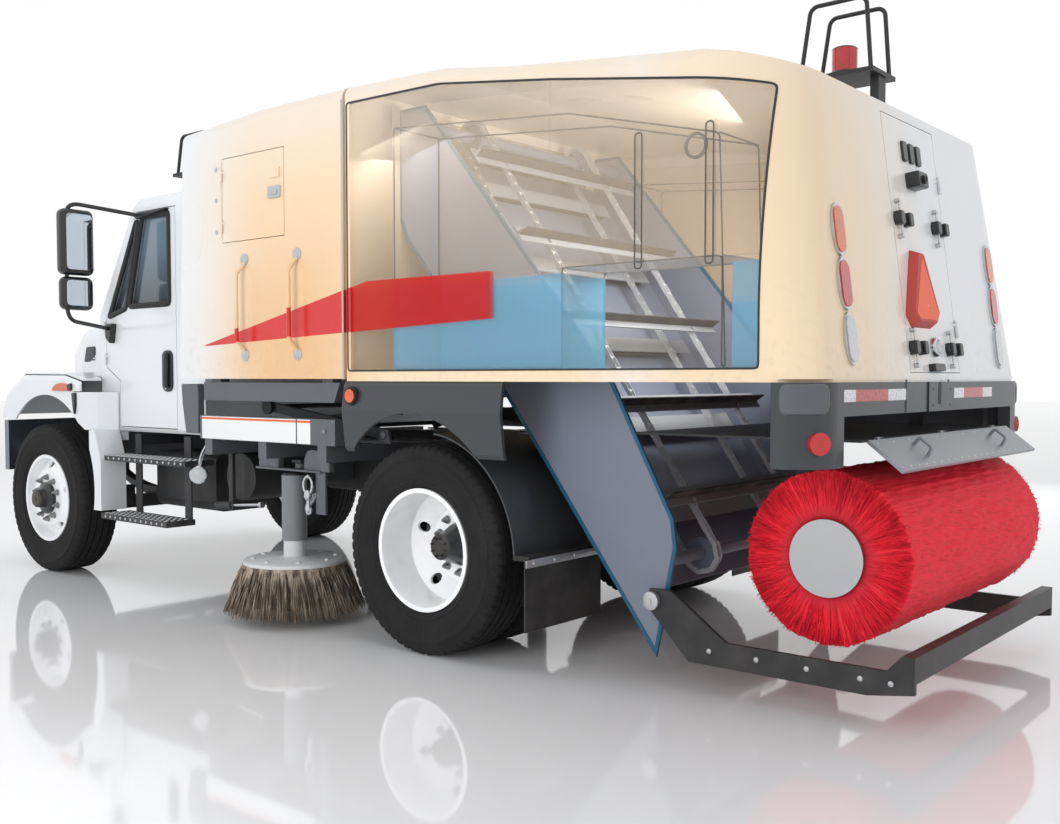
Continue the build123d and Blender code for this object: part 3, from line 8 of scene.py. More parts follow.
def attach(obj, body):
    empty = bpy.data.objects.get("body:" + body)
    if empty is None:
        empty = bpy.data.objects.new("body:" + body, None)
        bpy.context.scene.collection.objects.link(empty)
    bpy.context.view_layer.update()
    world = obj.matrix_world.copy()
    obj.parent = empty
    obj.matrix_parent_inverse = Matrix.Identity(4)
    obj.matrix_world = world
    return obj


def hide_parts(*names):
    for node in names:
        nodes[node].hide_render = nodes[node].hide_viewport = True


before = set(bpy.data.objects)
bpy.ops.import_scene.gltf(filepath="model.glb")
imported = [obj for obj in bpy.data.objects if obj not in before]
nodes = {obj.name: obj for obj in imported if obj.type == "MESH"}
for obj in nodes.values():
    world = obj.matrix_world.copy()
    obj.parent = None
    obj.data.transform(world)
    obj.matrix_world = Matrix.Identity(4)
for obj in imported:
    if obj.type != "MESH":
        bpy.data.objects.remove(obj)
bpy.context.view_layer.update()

# The studio: a pale seamless floor, a large soft lamp on each side of the truck and one above,
# and a camera low behind the left rear wheel, where the picture was taken.
camera_place = Vector((-4.837, 4.933, 1.335))
camera_turn = math.radians(39.7)
camera_pitch = math.radians(2.53)
picture_width = 1060.0
focal_pixels = 1109.0
sensor_width = 36.0

view_way = Vector((math.sin(camera_turn), -math.cos(camera_turn), 0)) * math.cos(camera_pitch)
view_way.z = -math.sin(camera_pitch)
camera_data = bpy.data.cameras.new("camera")
camera_data.sensor_width = sensor_width
camera_data.lens = sensor_width * focal_pixels / picture_width
camera_data.clip_end = 200.0
camera_data.shift_y = 0.014
camera = bpy.data.objects.new("camera", camera_data)
camera.matrix_world = (Matrix.Translation(camera_place)
                       @ view_way.to_track_quat("-Z", "Y").to_matrix().to_4x4())
bpy.context.scene.collection.objects.link(camera)
bpy.context.scene.camera = camera
bpy.context.scene.view_settings.view_transform = "Standard"


class Wire:
    """One socket in a material's tree. Sums and products on it become Math nodes."""

    def __init__(self, tree, socket=None):
        self.tree = tree
        self.socket = socket

    def node(self, kind, settings=None, sockets=None, out=0):
        """Add a shader node: its settings first, then a value or a wire for each socket."""
        made = self.tree.nodes.new("ShaderNode" + kind)
        for key, value in (settings or {}).items():
            if key == "stops":
                elements = made.color_ramp.elements
                while len(elements) < len(value):
                    elements.new(1.0)
                for element, (place, colour) in zip(elements, value):
                    element.position = place
                    element.color = colour
            else:
                setattr(made, key, value)
        for key, value in (sockets or {}).items():
            if isinstance(value, Wire):
                self.tree.links.new(value.socket, made.inputs[key])
            else:
                made.inputs[key].default_value = value
        return Wire(self.tree, made.outputs[out])

    def maths(self, operation, *values):
        return self.node("Math", {"operation": operation}, dict(enumerate(values)))

    def __add__(self, other):
        return self.maths("ADD", self, other)

    def __sub__(self, other):
        return self.maths("SUBTRACT", self, other)

    def __rsub__(self, other):
        return self.maths("SUBTRACT", other, self)

    def __mul__(self, other):
        return self.maths("MULTIPLY", self, other)

    def __truediv__(self, other):
        return self.maths("DIVIDE", self, other)

    def __pow__(self, other):
        return self.maths("POWER", self, other)

    def __abs__(self):
        return self.maths("ABSOLUTE", self)

    __radd__ = __add__
    __rmul__ = __mul__

    def over(self, low, high):
        """0 below low and 1 above high, smooth between."""
        return self.node("MapRange", {"interpolation_type": "SMOOTHSTEP"},
                         {"Value": self, "From Min": low, "From Max": high})


def tone(red, green, blue):
    """A colour as it looks on a screen, 0 to 255, made linear for the shader."""
    shown = np.array([red, green, blue]) / 255.0
    linear = np.where(shown <= 0.04045, shown / 12.92, ((shown + 0.055) / 1.055) ** 2.4)
    return (*linear.tolist(), 1.0)


def new_finish(name):
    """An empty material: returns it, a wire to build from, and its shader node."""
    material = bpy.data.materials.new(name)
    material.use_nodes = True
    tree = material.node_tree
    shader = tree.nodes["Principled BSDF"]
    return material, Wire(tree), shader


def feed(wire, shader, **values):
    """Set or link the shader's sockets; an underscore stands for a space."""
    for key, value in values.items():
        socket = shader.inputs[key.replace("_", " ")]
        if isinstance(value, Wire):
            wire.tree.links.new(value.socket, socket)
        else:
            socket.default_value = value


def places(wire):
    """The object coordinates and their three numbers."""
    where = wire.node("TexCoord", out=3)
    split = wire.tree.nodes.new("ShaderNodeSeparateXYZ")
    wire.tree.links.new(where.socket, split.inputs[0])
    return where, *[Wire(wire.tree, split.outputs[axis]) for axis in range(3)]


def blot(wire, where, scale, detail=3.0, stretch=(1, 1, 1)):
    """Soft noise from 0 to 1, stretched along the axes."""
    placed = wire.node("Mapping", None, {"Vector": where, "Scale": stretch})
    return wire.node("TexNoise", None, {"Vector": placed, "Scale": scale, "Detail": detail})


def blend_colour(wire, share, first, second):
    """The first colour where share is 0 and the second where it is 1."""
    made = wire.tree.nodes.new("ShaderNodeMix")
    made.data_type = "RGBA"
    for index, value in ((0, share), (6, first), (7, second)):
        if isinstance(value, Wire):
            wire.tree.links.new(value.socket, made.inputs[index])
        else:
            made.inputs[index].default_value = value
    return Wire(wire.tree, made.outputs[2])


def bumped(wire, height, strength, distance):
    """A normal from a height."""
    return wire.node("Bump", None, {"Height": height, "Strength": strength, "Distance": distance})


floor_material, wire, shader = new_finish("studio_floor")
where, x, y, z = places(wire)
feed(wire, shader, Base_Color=(0.87, 0.875, 0.88, 1), Roughness=0.04 + blot(wire, where, 0.8) * 0.03)
shader.inputs["Specular IOR Level"].default_value = 0.9
floor_half = 60.0
floor_mesh = bpy.data.meshes.new("floor")
floor_mesh.from_pydata([(-floor_half, -floor_half, 0), (floor_half, -floor_half, 0),
                        (floor_half, floor_half, 0), (-floor_half, floor_half, 0)], [], [(0, 1, 2, 3)])
floor = bpy.data.objects.new("floor", floor_mesh)
floor.data.materials.append(floor_material)
bpy.context.scene.collection.objects.link(floor)

world = bpy.data.worlds.new("world")
bpy.context.scene.world = world
world.use_nodes = True
sky = world.node_tree
lit = sky.nodes["Background"]
lit.inputs["Color"].default_value = (0.93, 0.95, 1.0, 1)
lit.inputs["Strength"].default_value = 0.47
shown = sky.nodes.new("ShaderNodeBackground")
shown.inputs["Color"].default_value = (1, 1, 1, 1)
path_kind = sky.nodes.new("ShaderNodeLightPath")
either = sky.nodes.new("ShaderNodeMath")
either.operation = "MAXIMUM"
sky.links.new(path_kind.outputs["Is Camera Ray"], either.inputs[0])
glassy = sky.nodes.new("ShaderNodeMath")
glassy.operation = "MAXIMUM"
sky.links.new(path_kind.outputs["Is Transmission Ray"], glassy.inputs[0])
sky.links.new(path_kind.outputs["Is Glossy Ray"], glassy.inputs[1])
sky.links.new(glassy.outputs[0], either.inputs[1])
choice = sky.nodes.new("ShaderNodeMixShader")
sky.links.new(either.outputs[0], choice.inputs[0])
sky.links.new(lit.outputs[0], choice.inputs[1])
sky.links.new(shown.outputs[0], choice.inputs[2])
sky.links.new(choice.outputs[0], sky.nodes["World Output"].inputs["Surface"])

# columns: name, place, aim, size, power
lamp_table = [
    ("lamp_left", (-2.0, 9.0, 3.4), (0.3, 1.0, 1.0), 5.0, 270.0),
    ("lamp_low", (-1.5, 6.0, 0.9), (-0.5, 1.0, 0.6), 2.0, 48.0),
    ("lamp_rear", (-10.0, 0.5, 4.0), (-2.5, 0.0, 1.4), 4.5, 170.0),
    ("lamp_top", (0.0, 0.0, 9.0), (0.0, 0.0, 0.0), 7.0, 210.0),
    ("lamp_front", (9.0, 4.0, 4.0), (2.0, 0.0, 1.2), 4.0, 170.0),
    ("lamp_right", (0.0, -9.0, 4.0), (0.0, 0.0, 1.2), 5.0, 230.0),
    ("lamp_inside", (-2.35, 0.1, 2.30), (-1.2, 0.5, 1.5), 0.8, 32.0),
    ("lamp_tank", (-0.85, 1.05, 2.50), (-1.1, 0.90, 1.2), 0.5, 2.2),
]
for name, place, aim, size, power in lamp_table:
    lamp_data = bpy.data.lights.new(name, "AREA")
    lamp_data.size = size
    lamp_data.energy = power
    lamp = bpy.data.objects.new(name, lamp_data)
    lamp.visible_camera = False
    lamp.visible_glossy = False
    lamp.matrix_world = (Matrix.Translation(place)
                         @ (Vector(aim) - Vector(place)).to_track_quat("-Z", "Y").to_matrix().to_4x4())
    bpy.context.scene.collection.objects.link(lamp)

# The ladder frame, axles and small brackets: pressed and welded steel, sprayed with satin black chassis
# paint that gathers a little pale road dust low down.
rear_axle_x = -1.055
front_axle_x = 2.601


def paint_nodes(material, *names):
    """Give nodes of the part their finish."""
    for name in names:
        data = nodes[name].data
        data.materials.clear()
        data.materials.append(material)


def paint(name, colour, dusty=0.12, roughness=0.32, metallic=0.0, coat=0.0, grain=0.0, dust_height=1.1):
    """Sprayed paint: faint cloudiness, dust that thickens towards the ground, and a little orange peel."""
    material, wire, shader = new_finish(name)
    where, x, y, z = places(wire)
    cloud = blot(wire, where, 3.0)
    speck = blot(wire, where, 9.0, 5.0)
    dust = (1 - z.over(0.1, dust_height)) * speck.over(0.30, 0.85) * dusty + cloud * (dusty * 0.15)
    colour_wire = blend_colour(wire, dust, colour, tone(168, 158, 146))
    feed(wire, shader, Base_Color=colour_wire, Roughness=roughness + cloud * 0.08 + dust * 0.4,
         Metallic=metallic, Normal=bumped(wire, blot(wire, where, 420.0, 2.0), 0.05 + grain, 0.0006))
    shader.inputs["Coat Roughness"].default_value = 0.06
    shader.inputs["Coat Weight"].default_value = coat
    return material


chassis_black = paint("chassis_black", tone(38, 39, 41), dusty=0.08, roughness=0.42)
engine_grey = paint("engine_grey", tone(88, 90, 92), dusty=0.4, roughness=0.55, grain=0.15)
paint_nodes(chassis_black, "frame_rails", "front_axle", "rear_axle", "knuckle_left", "knuckle_right",
            "tanks_under", "broom_arm", "mirror_left", "mirror_right")
paint_nodes(engine_grey, "engine_block")

# Tyres: road tyres with four rain grooves, notched shoulders and two raised rings on a bowed sidewall,
# moulded in black rubber that greys with dust on the tread.
tyre_radius = 0.508
groove_depth = 0.012
tyre_turn_steps = 252
shoulder_notches = 63


def grid_faces(rows, columns, close_rows=False, close_columns=False):
    """Quads of a grid of rows by columns points, as an array of corner numbers."""
    row = np.arange(rows if close_rows else rows - 1)
    column = np.arange(columns if close_columns else columns - 1)
    a, b = np.meshgrid(row, column, indexing="ij")
    next_a, next_b = (a + 1) % rows, (b + 1) % columns
    return np.stack([a * columns + b, next_a * columns + b, next_a * columns + next_b, a * columns + next_b],
                    -1).reshape(-1, 4)


def facing_out(points, faces):
    """The faces, turned round where the volume that they close is below zero: the sum, over a fan of
    triangles on each face, of the triple product of their corners about the middle of the points."""
    if isinstance(faces, np.ndarray):
        faces = faces.tolist()
    fans = np.array([(face[0], face[step], face[step + 1]) for face in faces
                     for step in range(1, len(face) - 1)])
    flat = points - points.mean(0)
    volume = np.sum(flat[fans[:, 0]] * np.cross(flat[fans[:, 1]], flat[fans[:, 2]]))
    return faces if volume > 0 else [face[::-1] for face in faces]


def make_piece(name, parts, body, finish, stands_for=(), smooth=True, sharp=40.0):
    """Join parts, each an array of points and its faces, into one mesh that rides on a body."""
    points, faces, base = [], [], 0
    for part_points, part_faces in parts:
        flat = np.asarray(part_points, float).reshape(-1, 3)
        points.append(flat)
        faces += [[corner + base for corner in face] for face in facing_out(flat, part_faces)]
        base += len(flat)
    mesh = bpy.data.meshes.new(name)
    mesh.from_pydata(np.concatenate(points).tolist(), [], faces)
    mesh.validate()
    mesh.polygons.foreach_set("use_smooth", [smooth] * len(mesh.polygons))
    if smooth:
        mesh.set_sharp_from_angle(angle=math.radians(sharp))
    mesh.materials.append(finish)
    made = bpy.data.objects.new(name, mesh)
    bpy.context.scene.collection.objects.link(made)
    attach(made, body)
    if stands_for:
        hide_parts(*stands_for)
    return made


def tyre_surface(x, y, z):
    """A closed section carried round the axle: radius and offset follow a half profile from bead to bead,
    the grooves dip the tread by a fixed depth, and the shoulders dip again with the angle."""
    sidewall = np.array([(0.2864, 0.1095), (0.299, 0.1095), (0.303, 0.118), (0.318, 0.1262), (0.3285, 0.1298),
                         (0.3305, 0.1325), (0.3345, 0.1327), (0.337, 0.131), (0.37, 0.1375), (0.405, 0.139),
                         (0.435, 0.1375), (0.438, 0.1395), (0.4435, 0.1390), (0.446, 0.1362), (0.468, 0.133),
                         (0.486, 0.128), (0.496, 0.122), (0.504, 0.113)])
    tread_offsets = [0.100, 0.0765, 0.0755, 0.0665, 0.0655, 0.030, 0.029, 0.020, 0.019]
    tread_dips = [0, 0, 1, 1, 0, 0, 1, 1, 0]
    half_offsets = np.array([*sidewall[:, 1], *tread_offsets])
    half_radii = np.array([*sidewall[:, 0], *[tyre_radius - 0.0006 * (o / 0.1) ** 2 * 4 - d * groove_depth
                                              for o, d in zip(tread_offsets, tread_dips)]])
    offsets = np.concatenate([half_offsets, -half_offsets[::-1]])
    radii = np.concatenate([half_radii, half_radii[::-1]])
    notch = ((np.abs(offsets) > 0.098) & (radii > 0.48)).astype(float)
    angle = np.linspace(0, 2 * np.pi, tyre_turn_steps, endpoint=False)
    dip = (np.arange(tyre_turn_steps) % (tyre_turn_steps // shoulder_notches) == 0).astype(float) * 0.009
    radius = radii[None, :] - notch[None, :] * dip[:, None]
    points = np.stack([x + radius * np.cos(angle)[:, None], np.broadcast_to(y + offsets, radius.shape),
                       z + radius * np.sin(angle)[:, None]], -1)
    faces = grid_faces(tyre_turn_steps, len(offsets), True, True)
    return points, faces


tyre_rubber, wire, shader = new_finish("tyre_rubber")
where, x, y, z = places(wire)
grit = blot(wire, where, 90.0, 5.0)
patch = blot(wire, where, 5.0)
dust = grit.over(0.3, 0.8) * 0.14 + patch.over(0.4, 0.8) * 0.08
feed(wire, shader, Base_Color=blend_colour(wire, dust, tone(26, 26, 28), tone(84, 80, 76)),
     Roughness=0.66 + grit * 0.2, Normal=bumped(wire, grit, 0.25, 0.0008))
shader.inputs["Specular IOR Level"].default_value = 0.25
front_y = 1.074
dual_spacing = 0.330
for side, word in ((1, "left"), (-1, "right")):
    make_piece("tyre_surface_front_" + word, [tyre_surface(front_axle_x, side * front_y, tyre_radius)],
               "wheel_front_" + word, tyre_rubber, ("tyre_front_" + word,))
    pair = [tyre_surface(rear_axle_x, side * front_y, tyre_radius),
            tyre_surface(rear_axle_x, side * (front_y - dual_spacing), tyre_radius)]
    make_piece("tyre_surfaces_rear_" + word, pair, "wheels_rear_" + word, tyre_rubber,
               ("tyres_rear_" + word,))

# Wheels: pressed and welded steel discs, sprayed in glossy white, bolted on ten studs with flanged nuts
# round a black cast hub. The rear pairs share their studs, with the outer disc turned inwards.
stud_circle = 0.28575 / 2
hub_edge = 0.1095


def wheel_paint(name, x_axle):
    """White over the disc and rim, black over the hub in its middle, with grey brake dust."""
    material, wire, shader = new_finish(name)
    where, x, y, z = places(wire)
    across_x = x - x_axle
    across_z = z - tyre_radius
    radius = (across_x * across_x + across_z * across_z) ** 0.5
    hub = 1 - radius.over(hub_edge - 0.001, hub_edge + 0.001)
    cloud = blot(wire, where, 14.0, 4.0)
    dust = cloud.over(0.45, 0.9) * 0.10 + radius.over(0.265, 0.290) * 0.08
    white = blend_colour(wire, dust, tone(250, 251, 252), tone(140, 134, 128))
    feed(wire, shader, Base_Color=blend_colour(wire, hub, white, tone(30, 31, 33)),
         Roughness=0.25 + cloud * 0.1, Normal=bumped(wire, blot(wire, where, 200.0), 0.06, 0.0006))
    shader.inputs["Coat Weight"].default_value = 0.3
    return material


front_white = wheel_paint("wheel_white_front", front_axle_x)
rear_white = wheel_paint("wheel_white_rear", rear_axle_x)
paint_nodes(front_white, "wheel_front_left", "wheel_front_right")
paint_nodes(rear_white, "wheels_rear_left", "wheels_rear_right")


def turned(profile, centre, axis, steps=32, closed=False, sharp_turn=0.0):
    """A profile of radius and height pairs carried round an axis: each point is the centre plus the height
    along the axis plus the radius times the turning direction. Ends at radius 0 close to a point."""
    profile = np.asarray(profile, float)
    axis = np.asarray(axis, float) / np.linalg.norm(axis)
    side = np.cross(axis, (0.0, 0.0, 1.0) if abs(axis[2]) < 0.9 else (1.0, 0.0, 0.0))
    side /= np.linalg.norm(side)
    other = np.cross(axis, side)
    angle = np.linspace(0, 2 * np.pi, steps, endpoint=False) + sharp_turn
    ring = np.cos(angle)[:, None] * side + np.sin(angle)[:, None] * other
    points = (np.asarray(centre, float) + profile[None, :, 1, None] * axis
              + profile[None, :, 0, None] * ring[:, None, :])
    count = len(profile)
    faces = grid_faces(steps, count, True, closed).tolist()
    if not closed:
        faces.append([step * count for step in range(steps)])
        faces.append([step * count + count - 1 for step in reversed(range(steps))])
    return points, faces


def nut_ring(centre, axis, radius, count, nut_radius, height, start=0.3):
    """Flanged hexagon nuts with stud ends, evenly round a circle."""
    parts = []
    axis = np.asarray(axis, float)
    for turn in range(count):
        angle = 2 * math.pi * turn / count + start
        spot = np.asarray(centre, float) + radius * np.array([math.cos(angle), 0, math.sin(angle)])
        parts.append(turned([(nut_radius * 1.35, 0), (nut_radius * 1.35, height * 0.18),
                             (nut_radius * 1.15, height * 0.25)], spot, axis, 14))
        parts.append(turned([(nut_radius, height * 0.2), (nut_radius, height * 0.85),
                             (nut_radius * 0.8, height)], spot, axis, 6, sharp_turn=angle))
        parts.append(turned([(nut_radius * 0.5, height * 0.9), (nut_radius * 0.5, height * 1.4),
                             (nut_radius * 0.36, height * 1.5)], spot, axis, 10))
    return parts


hub_black = paint("hub_black", tone(24, 24, 26), dusty=0.25, roughness=0.35)
nut_steel = paint("nut_steel", tone(150, 150, 152), dusty=0.3, roughness=0.35, metallic=0.8)
front_disc_out = 0.112
rear_disc_out = front_y - dual_spacing / 2 + 0.014
for side, word in ((1, "left"), (-1, "right")):
    outward = (0, side, 0)
    face = (front_axle_x, side * (front_y + front_disc_out), tyre_radius)
    make_piece("hub_nuts_front_" + word, nut_ring(face, outward, stud_circle, 10, 0.0165, 0.028),
               "wheel_front_" + word, nut_steel)
    cap_parts = [turned([(0.060, 0.0), (0.060, 0.012), (0.052, 0.020), (0.018, 0.022), (0.016, 0.027),
                         (0.0, 0.027)], (front_axle_x, side * (front_y + 0.182), tyre_radius), outward, 32)]
    cap_parts += nut_ring((front_axle_x, side * (front_y + 0.182), tyre_radius), outward, 0.048, 6, 0.006,
                          0.010)
    make_piece("hub_cap_front_" + word, cap_parts, "wheel_front_" + word, hub_black)
    face = (rear_axle_x, side * rear_disc_out, tyre_radius)
    make_piece("hub_nuts_rear_" + word, nut_ring(face, outward, stud_circle, 10, 0.0165, 0.028),
               "wheels_rear_" + word, nut_steel)
    hub_face = (rear_axle_x, side * (front_y - dual_spacing / 2 + 0.150), tyre_radius)
    rear_cap = [turned([(0.064, -0.012), (0.064, 0.008), (0.056, 0.014), (0.0, 0.014)], hub_face, outward,
                       32)]
    rear_cap += nut_ring((hub_face[0], side * (front_y - dual_spacing / 2 + 0.164), hub_face[2]), outward,
                         0.046, 8, 0.007, 0.010)
    make_piece("hub_cap_rear_" + word, rear_cap, "wheels_rear_" + word, hub_black)

# Body panels: welded sheet steel in white enamel, with a warm peach glow of light painted over the middle of
# truck, and one red wedge stripe along each side of the hopper and the first panel behind it.
stripe_tip_x = 0.669
stripe_end_x = -1.522


def stripe_share(x, y, z):
    """1 inside the wedge: between two edges that open from the tip, the lower nearly level, the upper rising
    and then level to its square end, and on the outer sides alone."""
    run = stripe_tip_x - x
    upper = run.maths("MINIMUM", run * 0.2117 + 1.522, 1.812)
    lower = run * 0.0388 + 1.516
    inside = z.maths("GREATER_THAN", z, lower) * z.maths("LESS_THAN", z, upper)
    inside = inside * x.maths("LESS_THAN", x, stripe_tip_x) * x.maths("GREATER_THAN", x, stripe_end_x)
    return inside * (abs(y)).over(1.19, 1.20)


def body_paint(name, striped):
    """White with a painted warm glow along the truck, strongest low in the middle and softer towards the
    roof, and a wedge stripe.
    """
    material, wire, shader = new_finish(name)
    where, x, y, z = places(wire)
    cloud = blot(wire, where, 1.3, 2.0)
    # The peach is painted light: a warm glow over the middle of the sides and the inner walls, and over the
    # rear wall towards its left corner, weaker towards the roof.
    along = x + (cloud - 0.5) * 0.35
    painted_glow = along.over(-2.75, -1.9) * (1 - along.over(0.10, 0.92))
    corner = (1 - x.over(-2.6, -1.9)) * (y + (cloud - 0.5) * 0.3).over(-0.20, 0.95)
    painted_glow = painted_glow.maths("MAXIMUM", painted_glow, corner) * (1 - z.over(2.2, 2.95) * 0.45) * 0.95
    # deep makes the painted glow stronger and more orange low in the middle, on the outer faces only.
    deep = along.over(-0.9, -0.3) * (1 - along.over(0.0, 0.75)) * (1 - z.over(1.35, 2.75)) * 0.6
    deep = deep * (abs(y)).over(1.19, 1.20)
    colour = blend_colour(wire, painted_glow, tone(228, 230, 232), tone(238, 212, 176))
    colour = blend_colour(wire, deep, colour, tone(222, 164, 96))
    if striped:
        colour = blend_colour(wire, stripe_share(x, y, z), colour, tone(205, 38, 34))
    dust = (1 - z.over(1.3, 1.9)) * blot(wire, where, 26.0, 5.0).over(0.45, 0.9) * 0.22
    feed(wire, shader, Base_Color=blend_colour(wire, dust, colour, tone(158, 146, 132)),
         Roughness=0.24 + cloud * 0.1, Normal=bumped(wire, blot(wire, where, 2.2, 1.0), 0.15, 0.004))
    shader.inputs["Coat Weight"].default_value = 0.35
    shader.inputs["Coat Roughness"].default_value = 0.05
    return material


hopper_paint = body_paint("hopper_paint", True)
rear_paint = body_paint("rear_paint", False)
paint_nodes(hopper_paint, "hopper_shell", "hopper_hatch", "dump_door", "body_mid")
paint_nodes(rear_paint, "body_rear", "rear_door", "body_base")


def rounded_box(low, high, edge, steps=3):
    """A box with rounded edges: a superellipse outline in plan, drawn in towards both ends by a quarter
    circle, so each point is the middle plus the half sizes less the edge, plus the edge in the direction of
    the angle."""
    low, high = np.minimum(low, high).astype(float), np.maximum(low, high).astype(float)
    middle, half = (low + high) / 2, (high - low) / 2
    edge = min(edge, half.min() * 0.98)
    quarter = np.linspace(0, np.pi / 2, steps + 1)
    turn = np.concatenate([quarter + start for start in (0, np.pi / 2, np.pi, 1.5 * np.pi)])
    corner_x = np.repeat([1, -1, -1, 1], steps + 1) * (half[0] - edge)
    corner_y = np.repeat([1, 1, -1, -1], steps + 1) * (half[1] - edge)
    rise = np.concatenate([quarter - np.pi / 2, quarter])
    level = np.repeat([-1, 1], steps + 1) * (half[2] - edge)
    shape = np.stack([middle[0] + corner_x + edge * np.cos(rise)[:, None] * np.cos(turn),
                      middle[1] + corner_y + edge * np.cos(rise)[:, None] * np.sin(turn),
                      np.broadcast_to(middle[2] + (level + edge * np.sin(rise))[:, None],
                                      (len(rise), len(turn)))], -1)
    count = len(turn)
    faces = grid_faces(len(rise), count, False, True)[:, ::-1].tolist()
    faces.append(list(reversed(range(count))))
    faces.append([(len(rise) - 1) * count + corner for corner in range(count)])
    return shape, faces


def rail_along(path, section, closed=False):
    """A flat section carried along a path: each ring is the path point plus the section's two numbers along
    a sideways and an upward direction square to the path, mitred at the corners."""
    path = np.asarray(path, float)
    ahead = np.roll(path, -1, 0) - path
    behind = path - np.roll(path, 1, 0)
    if not closed:
        ahead[-1] = behind[-1]
        behind[0] = ahead[0]
    unit_ahead = ahead / np.linalg.norm(ahead, axis=1)[:, None]
    unit_behind = behind / np.linalg.norm(behind, axis=1)[:, None]
    tangent = unit_ahead + unit_behind
    tangent /= np.linalg.norm(tangent, axis=1)[:, None]
    spread = (path - path.mean(0)) if closed else (path - path[0])
    normal = np.linalg.svd(spread - spread.mean(0))[2][2] if len(path) > 2 else np.array([0, 0, 1.0])
    if len(path) == 2 and abs(tangent[0] @ normal) > 0.9:
        normal = np.array([1.0, 0, 0])
    if normal[np.argmax(np.abs(normal))] < 0:
        normal = -normal
    up = np.broadcast_to(normal, tangent.shape)
    sideways = np.cross(up, tangent)
    sideways /= np.linalg.norm(sideways, axis=1)[:, None]
    stretch = 1.0 / np.maximum(np.sum(tangent * unit_ahead, axis=1), 0.35)
    section = np.asarray(section, float)
    points = (path[:, None] + sideways[:, None] * (section[None, :, 0, None] * stretch[:, None, None])
              + up[:, None] * section[None, :, 1, None])
    count = len(section)
    faces = grid_faces(len(path), count, closed, True).tolist()
    if not closed:
        faces.append(list(reversed(range(count))))
        faces.append([(len(path) - 1) * count + corner for corner in range(count)])
    return points, faces


def round_section(radius, sides=8):
    """A ring of points for a round bar or tube."""
    angle = np.linspace(0, 2 * np.pi, sides, endpoint=False)
    return np.stack([np.cos(angle), np.sin(angle)], 1) * radius


def softened(points, radius, steps=5, closed=False):
    """A path with each corner replaced by a quadratic curve that starts and ends at the radius from it."""
    points = np.asarray(points, float)
    count = len(points)
    share = np.linspace(0, 1, steps)[:, None]
    made = []
    for index in range(count):
        if not closed and index in (0, count - 1):
            made.append(points[index][None])
            continue
        here, before, after = points[index], points[index - 1], points[(index + 1) % count]
        back, on = before - here, after - here
        start = here + back / np.linalg.norm(back) * min(radius, np.linalg.norm(back) * 0.45)
        end = here + on / np.linalg.norm(on) * min(radius, np.linalg.norm(on) * 0.45)
        made.append((1 - share) ** 2 * start + 2 * share * (1 - share) * here + share ** 2 * end)
    return np.concatenate(made)


def at_rear_axle(x, y, z):
    """A point from millimetres ahead of the rear axle to metres in the shared frame."""
    return rear_axle_x + x / 1000, y / 1000, z / 1000


# Clear side panel: one sheet of polished acrylic, cut to the body's side and bent round its rear corner.
# It is held in a thin dark rubber seal, so that the elevator and the tank show behind it.
clear_acrylic, wire, shader = new_finish("clear_acrylic")
where, x, y, z = places(wire)
striped = stripe_share(x, y, z)
# The peach colour and the haze that thickens towards the top are a painted warm glow on the clear sheet.
clear_share = 0.04 + z.over(1.9, 2.75) * 0.10
feed(wire, shader, Base_Color=blend_colour(wire, striped, tone(250, 238, 218), tone(205, 38, 34)),
     Roughness=0.03 + blot(wire, where, 1.5) * 0.03, Alpha=clear_share * (1 - striped) + striped * 0.62)
shader.inputs["IOR"].default_value = 1.12
paint_nodes(clear_acrylic, "side_window")


def on_body_side(loop, step=0.05):
    """A closed loop laid on the body's left side: more points on its straight runs, each moved to the flat
    side or, near the rear, to the quarter circle of the corner, whose radius grows with the height."""
    loop = np.asarray(loop, float)
    dense = []
    for first, second in zip(loop, np.roll(loop, -1, axis=0)):
        count = max(1, int(np.linalg.norm(second - first) / step))
        dense += [first + (second - first) * share / count for share in range(count)]
    dense = np.array(dense)
    up = dense[:, 2] - 1.330
    corner = 0.150 + up * 0.1867
    rear = rear_axle_x - 2.030 + up * 0.135
    into = np.clip(corner - (dense[:, 0] - rear), 0, corner)
    dense[:, 1] = 1.216 - corner + np.sqrt(corner ** 2 - into ** 2)
    return dense


seal_black = paint("seal_black", tone(40, 42, 46), dusty=0.1, roughness=0.5)
seal_outline = [(490, 1370), (490, 2700), (-150, 2690), (-800, 2600), (-1800, 2440), (-1800, 1370)]
seal_path = on_body_side(softened([at_rear_axle(x, 1216, z) for x, z in seal_outline], 0.02, 4, True))
panel_section = [(-0.004, -0.006), (0.004, -0.006), (0.004, 0.0055), (-0.004, 0.0055)]
make_piece("panel_seal", [rail_along(seal_path, panel_section, True)], "chassis", seal_black)

# Elevator: welded side plates in blue-grey enamel with teal edges, two roller chains and angle flights
# with rubber squeegees that run up the floor plate.
plate_blue = paint("plate_blue", tone(118, 125, 142), dusty=0.12, roughness=0.34)
paint_nodes(plate_blue, "conveyor_housing")
edge_teal = paint("edge_teal", tone(28, 84, 112), dusty=0.0, roughness=0.3)
plate_outline = [(480, 2720), (480, 2180), (430, 2060), (-200, 1325), (-510, 930), (-1120, 130), (-1215, 600),
                 (-1200, 720), (-870, 1326), (300, 2720)]
edge_parts = []
for side in (1, -1):
    path = [at_rear_axle(x, side * 856, z) for x, z in plate_outline]
    edge_parts.append(rail_along(path, [(-0.009, -0.007), (0.009, -0.007), (0.009, 0.007),
                                        (-0.009, 0.007)], True))
make_piece("elevator_edges", edge_parts, "chassis", edge_teal, smooth=False)

head_x, head_z, foot_x, foot_z = 330.0, 2628.0, -1110.0, 520.0
sprocket_radius = 0.085
chain_y = 0.460
head = np.array(at_rear_axle(head_x, 0, head_z))
foot = np.array(at_rear_axle(foot_x, 0, foot_z))
run_length = float(np.linalg.norm(foot - head))
run_way = (foot - head) / run_length
floor_way = np.array([-run_way[2], 0, run_way[0]])
floor_way *= 1.0 if floor_way[0] > 0 else -1.0
loop_length = 2 * run_length + 2 * math.pi * sprocket_radius
link_count = 86


